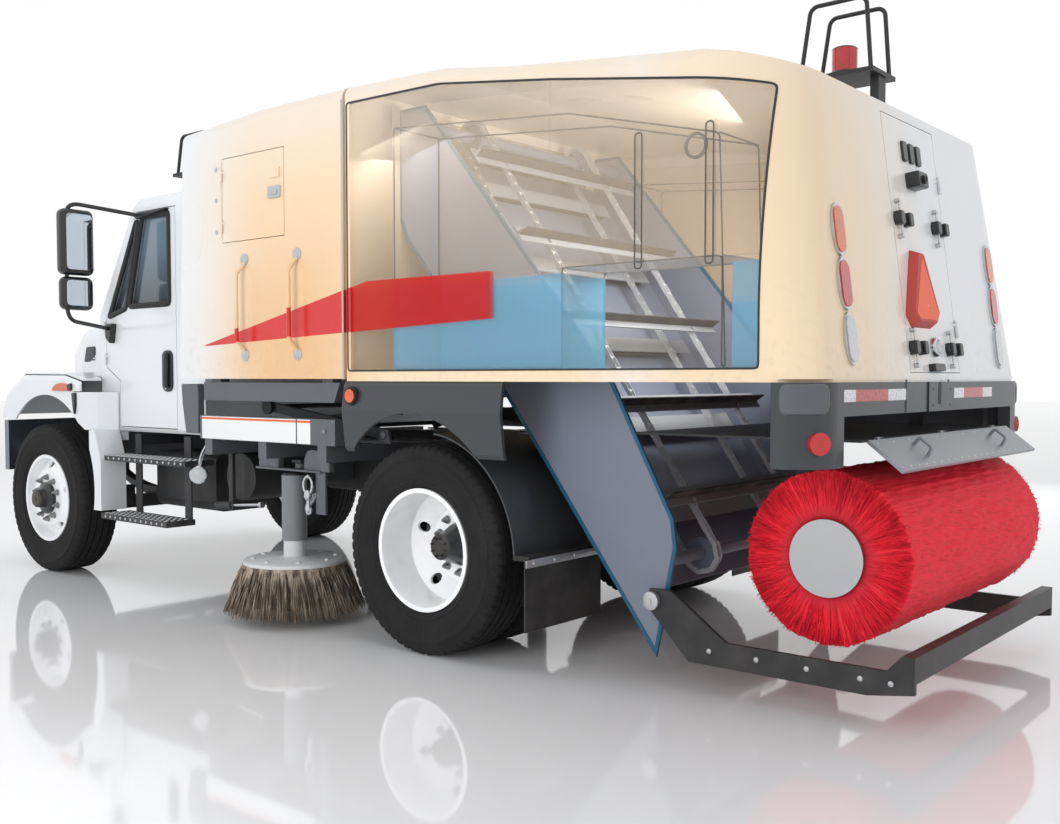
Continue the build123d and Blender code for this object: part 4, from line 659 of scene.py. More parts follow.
def on_loop(distance):
    """A point on the chain's loop and its direction: down the floor side, round the foot, up, round the
    head."""
    distance = np.asarray(distance, float) % loop_length
    turn_length = math.pi * sprocket_radius
    place = np.zeros((len(distance), 3))
    way = np.zeros((len(distance), 3))
    down = distance < run_length
    low_turn = (~down) & (distance < run_length + turn_length)
    up = (distance >= run_length + turn_length) & (distance < 2 * run_length + turn_length)
    high_turn = distance >= 2 * run_length + turn_length
    place[down] = head + floor_way * sprocket_radius + run_way * distance[down][:, None]
    way[down] = run_way
    angle = ((distance[low_turn] - run_length) / sprocket_radius)[:, None]
    place[low_turn] = (foot + floor_way * np.cos(angle) * sprocket_radius
                       + run_way * np.sin(angle) * sprocket_radius)
    way[low_turn] = -floor_way * np.sin(angle) + run_way * np.cos(angle)
    climbed = (distance[up] - run_length - turn_length)[:, None]
    place[up] = foot - floor_way * sprocket_radius - run_way * climbed
    way[up] = -run_way
    angle = ((distance[high_turn] - 2 * run_length - turn_length) / sprocket_radius)[:, None]
    place[high_turn] = (head - floor_way * np.cos(angle) * sprocket_radius
                        - run_way * np.sin(angle) * sprocket_radius)
    way[high_turn] = floor_way * np.sin(angle) - run_way * np.cos(angle)
    return place, way


def chain_links(y):
    """Rounded link plates in pairs, each an eight-cornered outline carried along the loop, with a roller
    between every pair."""
    pitch = loop_length / link_count
    place, way = on_loop((np.arange(link_count) + 0.5) * pitch)
    across = np.stack([-way[:, 2], np.zeros(link_count), way[:, 0]], 1)
    half, waist = pitch * 0.62, 0.0115
    outline = np.array([(-half, -0.006), (-half, 0.006), (-half * 0.7, waist), (half * 0.7, waist),
                        (half, 0.006), (half, -0.006), (half * 0.7, -waist), (-half * 0.7, -waist)])
    flat = place[:, None] + way[:, None] * outline[None, :, :1] + across[:, None] * outline[None, :, 1:]
    parts = []
    step = np.where(np.arange(link_count) % 2, 0.0105, 0.0150)[:, None, None]
    for side in (1, -1):
        inner = flat + np.array([0, 1, 0]) * (y + side * step)
        outer = inner + np.array([0, side * 0.003, 0])
        points = np.concatenate([inner, outer], 1)
        order = range(8)
        for index in range(link_count):
            faces = [[c for c in order][::side], [c + 8 for c in order][::-side]]
            faces += [[c, c + 8, (c + 1) % 8 + 8, (c + 1) % 8][::side] for c in order]
            parts.append((points[index], faces))
    centres, _ = on_loop(np.arange(link_count) * pitch)
    for centre in centres:
        parts.append(turned([(0.0085, -0.011), (0.0085, 0.011)], centre + (0, y, 0), (0, 1, 0), 8))
    return parts


chain_steel = paint("chain_steel", tone(206, 209, 213), dusty=0.15, roughness=0.35, metallic=0.35,
                    dust_height=3.0)
flight_grey = paint("flight_grey", tone(146, 150, 155), dusty=0.25, roughness=0.45, dust_height=3.0)
rubber_black = paint("rubber_black", tone(36, 36, 38), dusty=0.5, roughness=0.7, dust_height=3.0)
make_piece("chain_links", chain_links(chain_y) + chain_links(-chain_y), "chassis", chain_steel,
           ("conveyor_chain",), smooth=False)
flight_parts, blade_parts = [], []
flight_half = 0.700
runs = 5
for way in (floor_way, -floor_way):
    for step in range(runs):
        middle = head + run_way * run_length * (step + 0.5) / runs + way * (sprocket_radius + 0.0125)
        angle_section = np.array([(-0.045, 0.0), (0.045, 0.0), (0.045, 0.008), (0.004, 0.008),
                                  (0.004, 0.046), (-0.004, 0.046), (-0.004, 0.008), (-0.045, 0.008)])
        ends = []
        for y in (-flight_half, flight_half):
            ends.append(middle + (0, y, 0) + run_way * angle_section[:, :1] + way * angle_section[:, 1:])
        flip = 1 if way @ floor_way > 0 else -1
        faces = [[c, (c + 1) % 8, (c + 1) % 8 + 8, c + 8][::flip] for c in range(8)]
        faces += [list(range(8))[::-flip], [c + 8 for c in range(8)][::flip]]
        flight_parts.append((np.concatenate(ends), faces))
        for side in (1, -1):
            flight_parts.append(turned([(0.014, 0), (0.014, 0.006), (0.009, 0.012), (0, 0.012)],
                                       middle + (0, side * chain_y, 0) + way * 0.0075 + run_way * 0.025,
                                       way, 6))
        blade_section = np.array([(0.0045, 0.012), (0.0105, 0.012), (0.0105, 0.0685), (0.0045, 0.0685)])
        ends = []
        for y in (-flight_half * 0.985, flight_half * 0.985):
            ends.append(middle + (0, y, 0) + run_way * blade_section[:, :1] + way * blade_section[:, 1:])
        faces = [[c, (c + 1) % 4, (c + 1) % 4 + 4, c + 4][::flip] for c in range(4)]
        faces += [list(range(4))[::-flip], [c + 4 for c in range(4)][::flip]]
        blade_parts.append((np.concatenate(ends), faces))
make_piece("flight_angles", flight_parts, "chassis", flight_grey, smooth=False)
make_piece("flight_squeegees", blade_parts, "chassis", rubber_black, smooth=False)

# Water tanks: rotationally moulded saddles of clear plastic, strapped between the elevator and the body's
# sides. Their plastic is tinted blue up to a level, and a rounded bead runs along each moulded edge.
tank_plastic, wire, shader = new_finish("tank_plastic")
where, x, y, z = places(wire)
ripple = blot(wire, where, 1.4, 2.0)
level = z + (ripple - 0.5) * 0.03
filled = 1 - level.over(1.775, 1.790)
# A thin grey band at the height of the tanks' flat underside is painted shade.
painted_underside_shade = z.over(1.7985, 1.7990) * (1 - z.over(1.8010, 1.8015))
# The peach above the water level is the painted warm glow of the body's middle, not a colour of the plastic.
colour = blend_colour(wire, filled, tone(248, 226, 198), tone(96, 178, 216))
colour = blend_colour(wire, painted_underside_shade, colour, tone(150, 150, 152))
feed(wire, shader, Base_Color=colour, Roughness=0.12 + ripple * 0.1,
     Alpha=0.13 + filled * 0.36 + painted_underside_shade * 0.6, Normal=bumped(wire, blot(wire, where, 3.0), 0.2, 0.01))
paint_nodes(tank_plastic, "water_tanks")
tank_shape = [(186, 1378), (186, 2540), (-880, 2450), (-1610, 2270), (-1640, 1378), (-1625, 1378),
              (-1625, 1804), (-846, 1804), (-846, 1378)]
bead = round_section(0.0035, 6)
for side, word in ((1, "left"), (-1, "right")):
    beads = []
    for y in (side * 876, side * 1184):
        beads.append(rail_along(softened([at_rear_axle(x, y, z) for x, z in tank_shape], 0.02, 3, True),
                                bead, True))
    for x, z in ((-846, 1804), (-1625, 1804), (186, 2540), (-1610, 2270)):
        beads.append(rail_along([at_rear_axle(x, side * 876, z), at_rear_axle(x, side * 1184, z)], bead))
    for x in (-1245, -1573):
        rib = [at_rear_axle(x - 17, side * 1196, 1775), at_rear_axle(x + 17, side * 1196, 1775),
               at_rear_axle(x + 17, side * 1196, 2316), at_rear_axle(x - 17, side * 1196, 2316)]
        beads.append(rail_along(softened(rib, 0.016, 4, True), bead, True))
    beads.append(turned([(0.052, -0.004), (0.052, 0.003), (0.040, 0.005), (0.040, -0.004)],
                        at_rear_axle(-1500, side * 1176, 2236), (0, side, 0), 28, True))
    make_piece("tank_beads_" + word, beads, "chassis", seal_black)

# Rear broom: a brushed steel core tube turned by a motor in the arm's end, with red plastic bristles
# wound along it in tight rows and trimmed to one length.
broom_x, broom_z = rear_axle_x - 1.900, 0.622
broom_radius, core_radius, broom_half = 0.355, 0.155, 0.840
core_steel, wire, shader = new_finish("core_steel")
where, x, y, z = places(wire)
brush = wire.node("TexNoise", None, {"Vector": wire.node("Mapping", None,
                                                         {"Vector": where, "Scale": (3.0, 1.0, 160.0)}),
                                     "Scale": 3.0, "Detail": 3.0})
feed(wire, shader, Base_Color=tone(188, 189, 192), Metallic=0.9, Roughness=0.26 + brush * 0.2,
     Normal=bumped(wire, brush, 0.12, 0.0006))
paint_nodes(core_steel, "broom_core")
rng = np.random.default_rng(7)


def bristle_drum():
    """A drum whose radius follows a half profile from core to rim to core; the rim is ruffled by layered
    waves of the angle and the length, and both end faces carry radial ridges that swell outwards."""
    turn_steps, face_steps, length_steps = 288, 9, 64
    angle = np.linspace(0, 2 * np.pi, turn_steps, endpoint=False)
    face_radius = np.linspace(core_radius + 0.0004, broom_radius - 0.012, face_steps)
    offset = np.concatenate([np.full(face_steps, broom_half - 0.012),
                             np.linspace(broom_half - 0.018, 0.018 - broom_half, length_steps),
                             np.full(face_steps, 0.012 - broom_half)])
    radius = np.concatenate([face_radius, np.full(length_steps, broom_radius - 0.009), face_radius[::-1]])
    on_face = np.concatenate([np.ones(face_steps), np.zeros(length_steps), np.ones(face_steps)])
    ridge = rng.normal(size=turn_steps)
    ridge = ridge + 0.6 * np.repeat(rng.normal(size=turn_steps // 4), 4)
    reach = np.clip((radius - core_radius) / (broom_radius - core_radius), 0, 1)
    rough = rng.normal(size=(turn_steps, len(offset))) * 0.0022 + ridge[:, None] * 0.0016
    swell = (np.sin(angle[:, None] * 9 + offset[None] * 14) * 0.0018
             + np.sin(angle[:, None] * 23 - offset[None] * 31) * 0.0012)
    radius_all = radius[None] + (1 - on_face)[None] * (rough + swell)
    radius_all = np.minimum(radius_all, broom_radius)
    offset_all = offset[None] + np.sign(offset)[None] * on_face[None] * ridge[:, None] * reach[None] * 0.0035
    points = np.stack([broom_x + radius_all * np.cos(angle)[:, None], offset_all,
                       broom_z + radius_all * np.sin(angle)[:, None]], -1)
    return points, grid_faces(turn_steps, len(offset), True, True)[:, ::-1]


def strands(roots, tips, bow, width, sides=3, steps=4):
    """Thin bristles: each follows a quadratic curve from root through a bowed middle to its tip, and its
    width narrows with the square root of what is left."""
    share = np.linspace(0, 1, steps + 1)[None, :, None]
    middle = (roots + tips) / 2 + bow
    line = ((1 - share) ** 2 * roots[:, None] + 2 * share * (1 - share) * middle[:, None]
            + share ** 2 * tips[:, None])
    way = tips - roots
    way /= np.linalg.norm(way, axis=1)[:, None]
    side = np.cross(way, (0.31, 0.42, 0.853))
    side /= np.linalg.norm(side, axis=1)[:, None]
    other = np.cross(way, side)
    angle = np.linspace(0, 2 * np.pi, sides, endpoint=False)
    ring = np.cos(angle)[None, :, None] * side[:, None] + np.sin(angle)[None, :, None] * other[:, None]
    taper = width * np.sqrt(1.04 - share * 0.9)
    points = line[:, :, None] + ring[:, None] * taper[:, :, None]
    count = (steps + 1) * sides
    one = grid_faces(steps + 1, sides, False, True)
    faces = (one[None] + (np.arange(len(roots)) * count)[:, None, None]).reshape(-1, 4).tolist()
    base = np.arange(len(roots)) * count
    faces += [[b + c for c in reversed(range(sides))] for b in base]
    faces += [[b + count - sides + c for c in range(sides)] for b in base]
    return points.reshape(-1, 3), faces


def broom_tufts(count):
    """Bristles that stand out of the drum's end faces and rim."""
    angle = rng.uniform(0, 2 * np.pi, count)
    end = np.where(np.arange(count) % 2, 1.0, -1.0)
    inner = rng.uniform(core_radius + 0.01, broom_radius - 0.12, count)
    outer = np.minimum(inner + rng.uniform(0.09, 0.20, count), broom_radius - rng.uniform(0.0, 0.02, count))
    lean = rng.normal(0, 0.05, count)
    roots = np.stack([broom_x + inner * np.cos(angle), end * (broom_half - 0.016),
                      broom_z + inner * np.sin(angle)], 1)
    tips = np.stack([broom_x + outer * np.cos(angle + lean),
                     end * (broom_half - rng.uniform(0.0, 0.009, count)),
                     broom_z + outer * np.sin(angle + lean)], 1)
    return strands(roots, tips, np.zeros((count, 3)), 0.0032, 3, 2)


bristle_red, wire, shader = new_finish("bristle_red")
where, x, y, z = places(wire)
across_x = x - broom_x
across_z = z - broom_z
turn = wire.maths("ARCTAN2", across_z, across_x)
radius = (across_x * across_x + across_z * across_z) ** 0.5
face = abs(y).over(broom_half - 0.030, broom_half - 0.018)
fan = wire.node("CombineXYZ", None, {"X": turn * 9.0, "Y": y * 0.6, "Z": radius * 2.0})
streak = wire.node("TexNoise", None, {"Vector": fan, "Scale": 3.2, "Detail": 4.0, "Roughness": 0.65})
fur = wire.node("CombineXYZ", None, {"X": turn * 14.0 + y * 5.0, "Y": y * 3.4, "Z": radius})
lock = wire.node("TexNoise", None, {"Vector": fur, "Scale": 3.0, "Detail": 6.0, "Roughness": 0.7,
                                    "Distortion": 1.2})
share = face * streak + (1 - face) * lock
dark = share.over(0.30, 0.52)
colour = blend_colour(wire, dark, tone(186, 16, 36), tone(238, 34, 54))
colour = blend_colour(wire, share.over(0.55, 0.78) * 0.6, colour, tone(240, 84, 96))
shade = face * (1 - radius.over(0.15, 0.24)) * 0.5
colour = blend_colour(wire, shade, colour, tone(110, 6, 18))
feed(wire, shader, Base_Color=colour, Roughness=0.55 + share * 0.2, Normal=bumped(wire, share, 0.5, 0.004))
make_piece("broom_bristle_drum", [bristle_drum(), broom_tufts(2600)], "broom", bristle_red,
           ("broom_bristles",), sharp=180.0)

# Broom hood, shoes, deflector and the cover behind: folded and welded sheet steel in grey and black paint.
# The cover has two rows of rivets, and small rollers and bolts hold the shoes' ends.
cover_grey = paint("cover_grey", tone(140, 143, 148), dusty=0.1, roughness=0.33, metallic=0.35)
paint_nodes(chassis_black, "broom_housing")
paint_nodes(cover_grey, "broom_cover")
rivet_steel = paint("rivet_steel", tone(196, 198, 200), dusty=0.05, roughness=0.3, metallic=0.8)


def button(spot, way, radius=0.007, height=0.004):
    """A round-headed rivet or bolt: a low dome of revolution."""
    return turned([(radius, 0), (radius * 0.95, height * 0.5), (radius * 0.6, height * 0.9), (0, height)],
                  spot, way, 10)


cover_slope = np.array([-142.0, 0, -113.0])
cover_slope /= np.linalg.norm(cover_slope)
cover_up = np.array([cover_slope[2], 0, -cover_slope[0]])
cover_up *= 1.0 if cover_up[2] > 0 else -1.0
cover_top = np.array(at_rear_axle(-2074, 0, 1096))
cover_parts = [button(cover_top + cover_slope * 0.158 + (0, y, 0) + cover_up * -0.001, cover_up, 0.006)
               for y in np.linspace(-0.82, 0.82, 21)]
cover_parts += [button(cover_top + cover_slope * 0.020 + (0, y, 0) + cover_up * -0.001, cover_up, 0.006)
                for y in np.linspace(-0.80, 0.80, 11)]
make_piece("cover_rivets", cover_parts, "broom_cover", rivet_steel)
roller = [turned([(0.030, 0), (0.040, 0.004), (0.040, 0.026), (0.030, 0.030), (0.012, 0.031),
                  (0.012, 0.036), (0.0, 0.036)], at_rear_axle(-1140, side * 914, 370), (0, side, 0), 28)
          for side in (1, -1)]
shoe_bolts = []
for side in (1, -1):
    for x in (-1420, -1640, -1860, -2080, -2200):
        shoe_bolts.append(button(at_rear_axle(x, side * 913.5, 190), (0, side, 0), 0.012, 0.008))
make_piece("shoe_rollers", roller + shoe_bolts, "chassis", rivet_steel)

# Side brooms: a steel plate with grey and brown steel bristles flared under it, hung from a swinging arm
# with a black motor between a bracket and the plate.
bracket_grey = paint("bracket_grey", tone(120, 124, 128), dusty=0.3, roughness=0.4)
paint_nodes(bracket_grey, "side_arm_left", "side_arm_right")
bristle_brown, wire, shader = new_finish("bristle_brown")
where, x, y, z = places(wire)
strand_noise = blot(wire, where, 30.0, 4.0, (1, 1, 0.2))
colour = blend_colour(wire, strand_noise.over(0.35, 0.65), tone(88, 76, 66), tone(176, 162, 146))
colour = blend_colour(wire, (1 - z.over(0.05, 0.16)) * 0.35, colour, tone(150, 126, 98))
feed(wire, shader, Base_Color=colour, Roughness=0.6 + strand_noise * 0.2)
plate_white = paint("plate_white", tone(214, 216, 218), dusty=0.25, roughness=0.4)


def side_bristles(x, y):
    """Strands in clumps round the plate: each leaves under the rim and flares out and down to the road."""
    clumps, each = 52, 26
    clump = np.repeat(np.linspace(0, 2 * np.pi, clumps, endpoint=False), each)
    count = len(clump)
    angle = clump + rng.normal(0, 0.022, count)
    root_radius = rng.uniform(0.225, 0.278, count)
    tip_radius = rng.uniform(0.300, 0.388, count)
    tip_angle = angle + rng.normal(0, 0.03, count) + 0.05
    tip_z = rng.uniform(0.046, 0.075, count)
    roots = np.stack([x + root_radius * np.cos(angle), y + root_radius * np.sin(angle),
                      np.full(count, 0.318)], 1)
    tips = np.stack([x + tip_radius * np.cos(tip_angle), y + tip_radius * np.sin(tip_angle), tip_z], 1)
    bow = np.stack([np.cos(angle) * 0.022, np.sin(angle) * 0.022, np.full(count, 0.012)], 1)
    return strands(roots, tips, bow, 0.0036, 3, 4)


side_x, side_y, plate_z = rear_axle_x + 1.130, 1.060, 0.330
for side, word in ((1, "left"), (-1, "right")):
    centre = (side_x, side * side_y, plate_z)
    disc = [turned([(0.020, 0.150), (0.020, 0.109), (0.060, 0.109), (0.060, 0.022), (0.095, 0.014),
                    (0.262, 0.012), (0.280, 0.004), (0.280, -0.013), (0.200, -0.013), (0.0, -0.013)],
                   centre, (0, 0, 1), 56)]
    for turn in range(8):
        angle = turn * math.pi / 4 + 0.2
        spot = (centre[0] + 0.225 * math.cos(angle), centre[1] + 0.225 * math.sin(angle), plate_z + 0.0125)
        disc.append(button(spot, (0, 0, 1), 0.014, 0.010))
    make_piece("side_broom_plate_" + word, disc, "side_broom_" + word, plate_white)
    core = turned([(0.205, -0.0135), (0.284, -0.0135), (0.282, -0.035), (0.292, -0.06), (0.300, -0.16),
                   (0.262, -0.235), (0.215, -0.235)], centre, (0, 0, 1), 72, True)
    make_piece("side_broom_bristles_" + word, [side_bristles(centre[0], centre[1]), core],
               "side_broom_" + word, bristle_brown, ("side_broom_" + word,), sharp=180.0)

# Cab: a pressed and spot-welded steel shell in white enamel, with tinted glass bonded into black rubber.
# The doors hang on two pins each at their front edge.
cab_half = 1.000
cab_white = paint("cab_white", tone(230, 233, 236), dusty=0.05, roughness=0.2, coat=0.5, dust_height=1.4)
paint_nodes(cab_white, "cab_shell", "door_left", "door_right")
cab_glass, wire, shader = new_finish("cab_glass")
where, x, y, z = places(wire)
# The glass is dark; its lighter blue-grey towards the top is a painted sky reflection, mixed in with the
# height.
painted_reflection = (z + blot(wire, where, 1.2, 2.0) * 0.12).over(1.80, 2.36)
feed(wire, shader, Base_Color=blend_colour(wire, painted_reflection, tone(70, 74, 80), tone(118, 142, 156)),
     Roughness=0.04 + blot(wire, where, 7.0) * 0.05, Alpha=0.93 - painted_reflection * 0.08)
shader.inputs["Coat Weight"].default_value = 0.6
paint_nodes(cab_glass, "windshield", "door_glass_left", "door_glass_right")
seat_vinyl, wire, shader = new_finish("seat_vinyl")
where, x, y, z = places(wire)
grain = wire.node("TexVoronoi", None, {"Vector": where, "Scale": 260.0})
feed(wire, shader, Base_Color=blend_colour(wire, blot(wire, where, 4.0), tone(58, 60, 64), tone(78, 80, 84)),
     Roughness=0.55 + grain * 0.2, Normal=bumped(wire, grain, 0.3, 0.0008))
paint_nodes(seat_vinyl, "cab_interior")


def outline_on(centre, along, up, corners, radius, steps=5):
    """A closed outline: pairs of numbers along two directions from a centre, with rounded corners."""
    flat = softened([(a, b, 0.0) for a, b in corners], radius, steps, True)
    return (np.asarray(centre, float) + flat[:, :1] * np.asarray(along, float)
            + flat[:, 1:2] * np.asarray(up, float))


def oblong(width, height):
    """The corners of a rectangle about its middle."""
    return [(-width / 2, -height / 2), (width / 2, -height / 2), (width / 2, height / 2),
            (-width / 2, height / 2)]


def plaque(outline, way, height, edge=0.003, hidden=0.004, taper=0.0):
    """A low raised shape: the outline carried along a direction, then drawn in towards its middle by a
    quarter circle of the edge's size, in each of its own two directions in proportion to its reach."""
    outline, way = np.asarray(outline, float), np.asarray(way, float) / np.linalg.norm(way)
    middle = (outline.max(0) + outline.min(0)) / 2
    spread = outline - middle
    first = spread[np.argmax(np.linalg.norm(spread, axis=1))]
    first = first / np.linalg.norm(first)
    second = np.cross(way, first)
    reach = np.array([np.abs(spread @ first).max(), np.abs(spread @ second).max()])
    edge = min(edge, reach.min() * 0.9)
    rings = [(0.0, -hidden), (taper * 0.9, height - edge)]
    rings += [(taper + edge * (1 - math.cos(turn)), height - edge + edge * math.sin(turn))
              for turn in (0.5, 1.0, math.pi / 2)]
    layers = []
    for drawn, rise in rings:
        share = 1 - np.minimum(drawn / reach, 0.95)
        layers.append(middle + (spread @ first)[:, None] * first * share[0]
                      + (spread @ second)[:, None] * second * share[1] + way * rise)
    count = len(outline)
    faces = grid_faces(len(layers), count, False, True).tolist()
    faces += [list(reversed(range(count))), [(len(layers) - 1) * count + corner for corner in range(count)]]
    return np.concatenate(layers), faces


rubber_seal = paint("rubber_seal", tone(26, 28, 31), dusty=0.06, roughness=0.5)
handle_black = paint("handle_black", tone(24, 26, 29), dusty=0.03, roughness=0.3, coat=0.3)
bright_steel = paint("bright_steel", tone(200, 203, 206), dusty=0.05, roughness=0.14, metallic=0.95)
mirror_glass, wire, shader = new_finish("mirror_glass")
where, x, y, z = places(wire)
feed(wire, shader, Base_Color=tone(208, 216, 224), Metallic=1.0,
     Roughness=0.02 + blot(wire, where, 9.0) * 0.02)
main_window = [(-0.765, 1.800), (-0.935, 2.372), (-1.235, 2.372), (-1.235, 1.800)]
quarter_window = [(-0.515, 1.742), (-0.545, 1.780), (-0.860, 2.340), (-0.885, 2.340), (-0.725, 1.790)]
seal_section = [(-0.020, -0.004), (-0.017, 0.008), (-0.004, 0.012), (0.010, 0.012), (0.017, 0.006),
                (0.018, -0.004)]
for side, word in ((1, "left"), (-1, "right")):
    door = "door_" + word
    skin = side * cab_half
    seals = []
    for window, radius in ((main_window, 0.030), (quarter_window, 0.020)):
        path = softened([(front_axle_x + x, skin, z) for x, z in window], radius, 5, True)
        turned_section = [(a, b * side) for a, b in seal_section]
        seals.append(rail_along(path, turned_section, True))
    make_piece("window_seals_" + word, seals, door, rubber_seal)
    pull_x = front_axle_x - 1.206
    pull = outline_on((pull_x, skin, 1.378), (1, 0, 0), (0, 0, 1), oblong(0.115, 0.262), 0.050)
    lever = rounded_box((pull_x - 0.026, skin + side * 0.004, 1.270),
                        (pull_x + 0.026, skin + side * 0.034, 1.492), 0.014)
    lock = turned([(0.015, 0), (0.015, 0.012), (0.011, 0.015), (0.0, 0.015)],
                  (pull_x + 0.006, skin + side * 0.006, 1.276), (0, side, 0), 18)
    make_piece("door_pull_" + word, [plaque(pull, (0, side, 0), 0.012, 0.008), lever], door,
               handle_black)
    make_piece("door_lock_" + word, [lock], door, bright_steel)
    mirror_x, mirror_y = front_axle_x - 0.700, side * 1.330
    heads = [rounded_box((mirror_x - 0.050, mirror_y - 0.110, 1.985),
                         (mirror_x + 0.055, mirror_y + 0.110, 2.400), 0.040, 5),
             rounded_box((mirror_x - 0.045, mirror_y - 0.105, 1.765),
                         (mirror_x + 0.050, mirror_y + 0.105, 1.975), 0.040, 5)]
    root = skin + side * 0.022
    tube = softened([(front_axle_x - 0.905, root, 2.380), (mirror_x, mirror_y + side * 0.060, 2.440),
                     (mirror_x, mirror_y + side * 0.060, 1.700), (front_axle_x - 0.560, root, 1.660)],
                    0.085, 8)
    heads.append(rail_along(tube, round_section(0.013, 12)))
    foot = [(front_axle_x + x, skin, z) for x, z in ((-0.860, 2.394), (-0.905, 2.352), (-1.240, 2.388),
                                                     (-1.240, 2.398))]
    heads.append(plaque(softened(foot, 0.012, 4, True), (0, side, 0), 0.034, 0.010))
    low_foot = [(front_axle_x + x, skin, z) for x, z in ((-0.520, 1.695), (-0.520, 1.600), (-0.575, 1.560),
                                                         (-0.605, 1.695))]
    heads.append(plaque(softened(low_foot, 0.014, 4, True), (0, side, 0), 0.040, 0.010))
    make_piece("mirror_housings_" + word, heads, door, handle_black, ("mirror_" + word,))
    panes = []
    for middle, tall in ((2.192, 0.350), (1.870, 0.160)):
        pane = outline_on((mirror_x - 0.050, mirror_y, middle), (0, 1, 0), (0, 0, 1), oblong(0.170, tall),
                          0.026)
        panes.append(plaque(pane, (-1, 0, 0), 0.003, 0.001))
    make_piece("mirror_panes_" + word, panes, door, mirror_glass)
run_x, run_z = 0.5348, -0.8449
screen_path = [(front_axle_x - 0.5965 + run_x * a + 0.022, b, 2.0685 + run_z * a + 0.014)
               for a, b in ((0.3155, 0.910), (-0.3155, 0.910), (-0.3155, -0.910), (0.3155, -0.910))]
sill_parts = [rounded_box(at_rear_axle(3180, side * 1012, 984), at_rear_axle(2062, side * 985, 1006),
                          0.004) for side in (1, -1)]
make_piece("screen_seal", [rail_along(softened(screen_path, 0.045, 6, True),
                                      [(-0.019, -0.02), (-0.019, 0.012), (0.0, 0.016), (0.019, 0.012),
                                       (0.019, -0.02)], True)], "chassis", rubber_seal)
make_piece("cab_sills", sill_parts, "chassis", rivet_steel)

# Hood: one reinforced plastic moulding in white enamel with a black vent in each side, held down by rubber
# pulls, with an amber lamp on each fender.
paint_nodes(cab_white, "hood")
grille_black = paint("grille_black", tone(34, 36, 39), dusty=0.1, roughness=0.35, coat=0.2)
paint_nodes(grille_black, "grille")


def lens_finish(name, colour, ribs=260.0):
    """Moulded clear plastic over a coloured core, with fine ribs across it."""
    material, wire, shader = new_finish(name)
    where, x, y, z = places(wire)
    across = (x + y) * ribs
    rib = wire.maths("SINE", across) * 0.5 + wire.maths("SINE", z * ribs) * 0.5
    deep = blend_colour(wire, blot(wire, where, 24.0), colour,
                        tuple(0.6 * part for part in colour[:3]) + (1.0,))
    feed(wire, shader, Base_Color=deep, Roughness=0.12 + blot(wire, where, 30.0) * 0.08,
         Normal=bumped(wire, rib, 0.35, 0.0015))
    shader.inputs["Coat Weight"].default_value = 0.8
    return material


amber_lens = lens_finish("amber_lens", tone(226, 96, 28))
clear_lens = lens_finish("clear_lens", tone(214, 218, 220))
fender_side = 1.195
for side, word in ((1, "left"), (-1, "right")):
    half_moon = [(math.cos(turn) * 0.120, math.sin(turn) * 0.056 - 0.028)
                 for turn in np.linspace(0, math.pi, 15)]
    lamp_outline = [(front_axle_x - 0.238 + a, side * fender_side, 1.274 + b) for a, b in half_moon]
    make_piece("fender_lamp_" + word, [plaque(lamp_outline, (0, side, 0), 0.016, 0.010)], "hood",
               amber_lens)
    nose_way = np.array([-0.1338, side * 0.991, 0])
    nose_run = np.array([0.991, side * -0.1338, 0])
    vent_middle = np.array([front_axle_x + 0.060, side * 0.8216, 1.500])
    vent = outline_on(vent_middle, nose_run, (0, 0, 1), [(-0.10, -0.052), (0.115, -0.052), (0.055, 0.060),
                                                         (-0.085, 0.060)], 0.018)
    slats = [plaque(vent, nose_way, 0.006, 0.004)]
    for level in np.linspace(-0.036, 0.040, 5):
        slat = outline_on(vent_middle + nose_way * 0.004, nose_run, (0, 0, 1),
                          [(-0.078, level - 0.004), (0.078 - level * 0.5, level - 0.004),
                           (0.078 - level * 0.5, level + 0.004), (-0.078, level + 0.004)], 0.002, 3)
        slats.append(plaque(slat, nose_way, 0.007, 0.002))
    make_piece("hood_vent_" + word, slats, "hood", grille_black)
    latch_plate = [(front_axle_x + x, side * fender_side, z) for x, z in
                   ((-0.330, 1.252), (-0.376, 1.252), (-0.376, 1.300), (-0.330, 1.292))]
    make_piece("hood_latch_" + word,
               [plaque(softened(latch_plate, 0.008, 4, True), (0, side, 0), 0.018, 0.006)],
               "hood", handle_black)
    keeper = [(front_axle_x + x, side * fender_side, z) for x, z in
              ((-0.384, 1.236), (-0.430, 1.236), (-0.428, 1.150), (-0.412, 1.090), (-0.398, 1.150))]
    make_piece("hood_keeper_" + word, [plaque(softened(keeper, 0.010, 4, True), (0, side, 0), 0.016, 0.005)],
               "chassis", handle_black)
    nose_x = front_axle_x + 0.6925
    bezel = outline_on((nose_x, side * 0.460, 1.205), (0, 1, 0), (0, 0, 1), oblong(0.150, 0.180), 0.040)
    make_piece("head_lamp_bezel_" + word, [plaque(bezel, (1, 0, 0), 0.010, 0.006)], "hood",
               bright_steel)
    glass = outline_on((nose_x, side * 0.460, 1.205), (0, 1, 0), (0, 0, 1), oblong(0.124, 0.154), 0.034)
    make_piece("head_lamp_" + word, [plaque(glass, (1, 0, 0), 0.019, 0.010)], "hood", clear_lens)

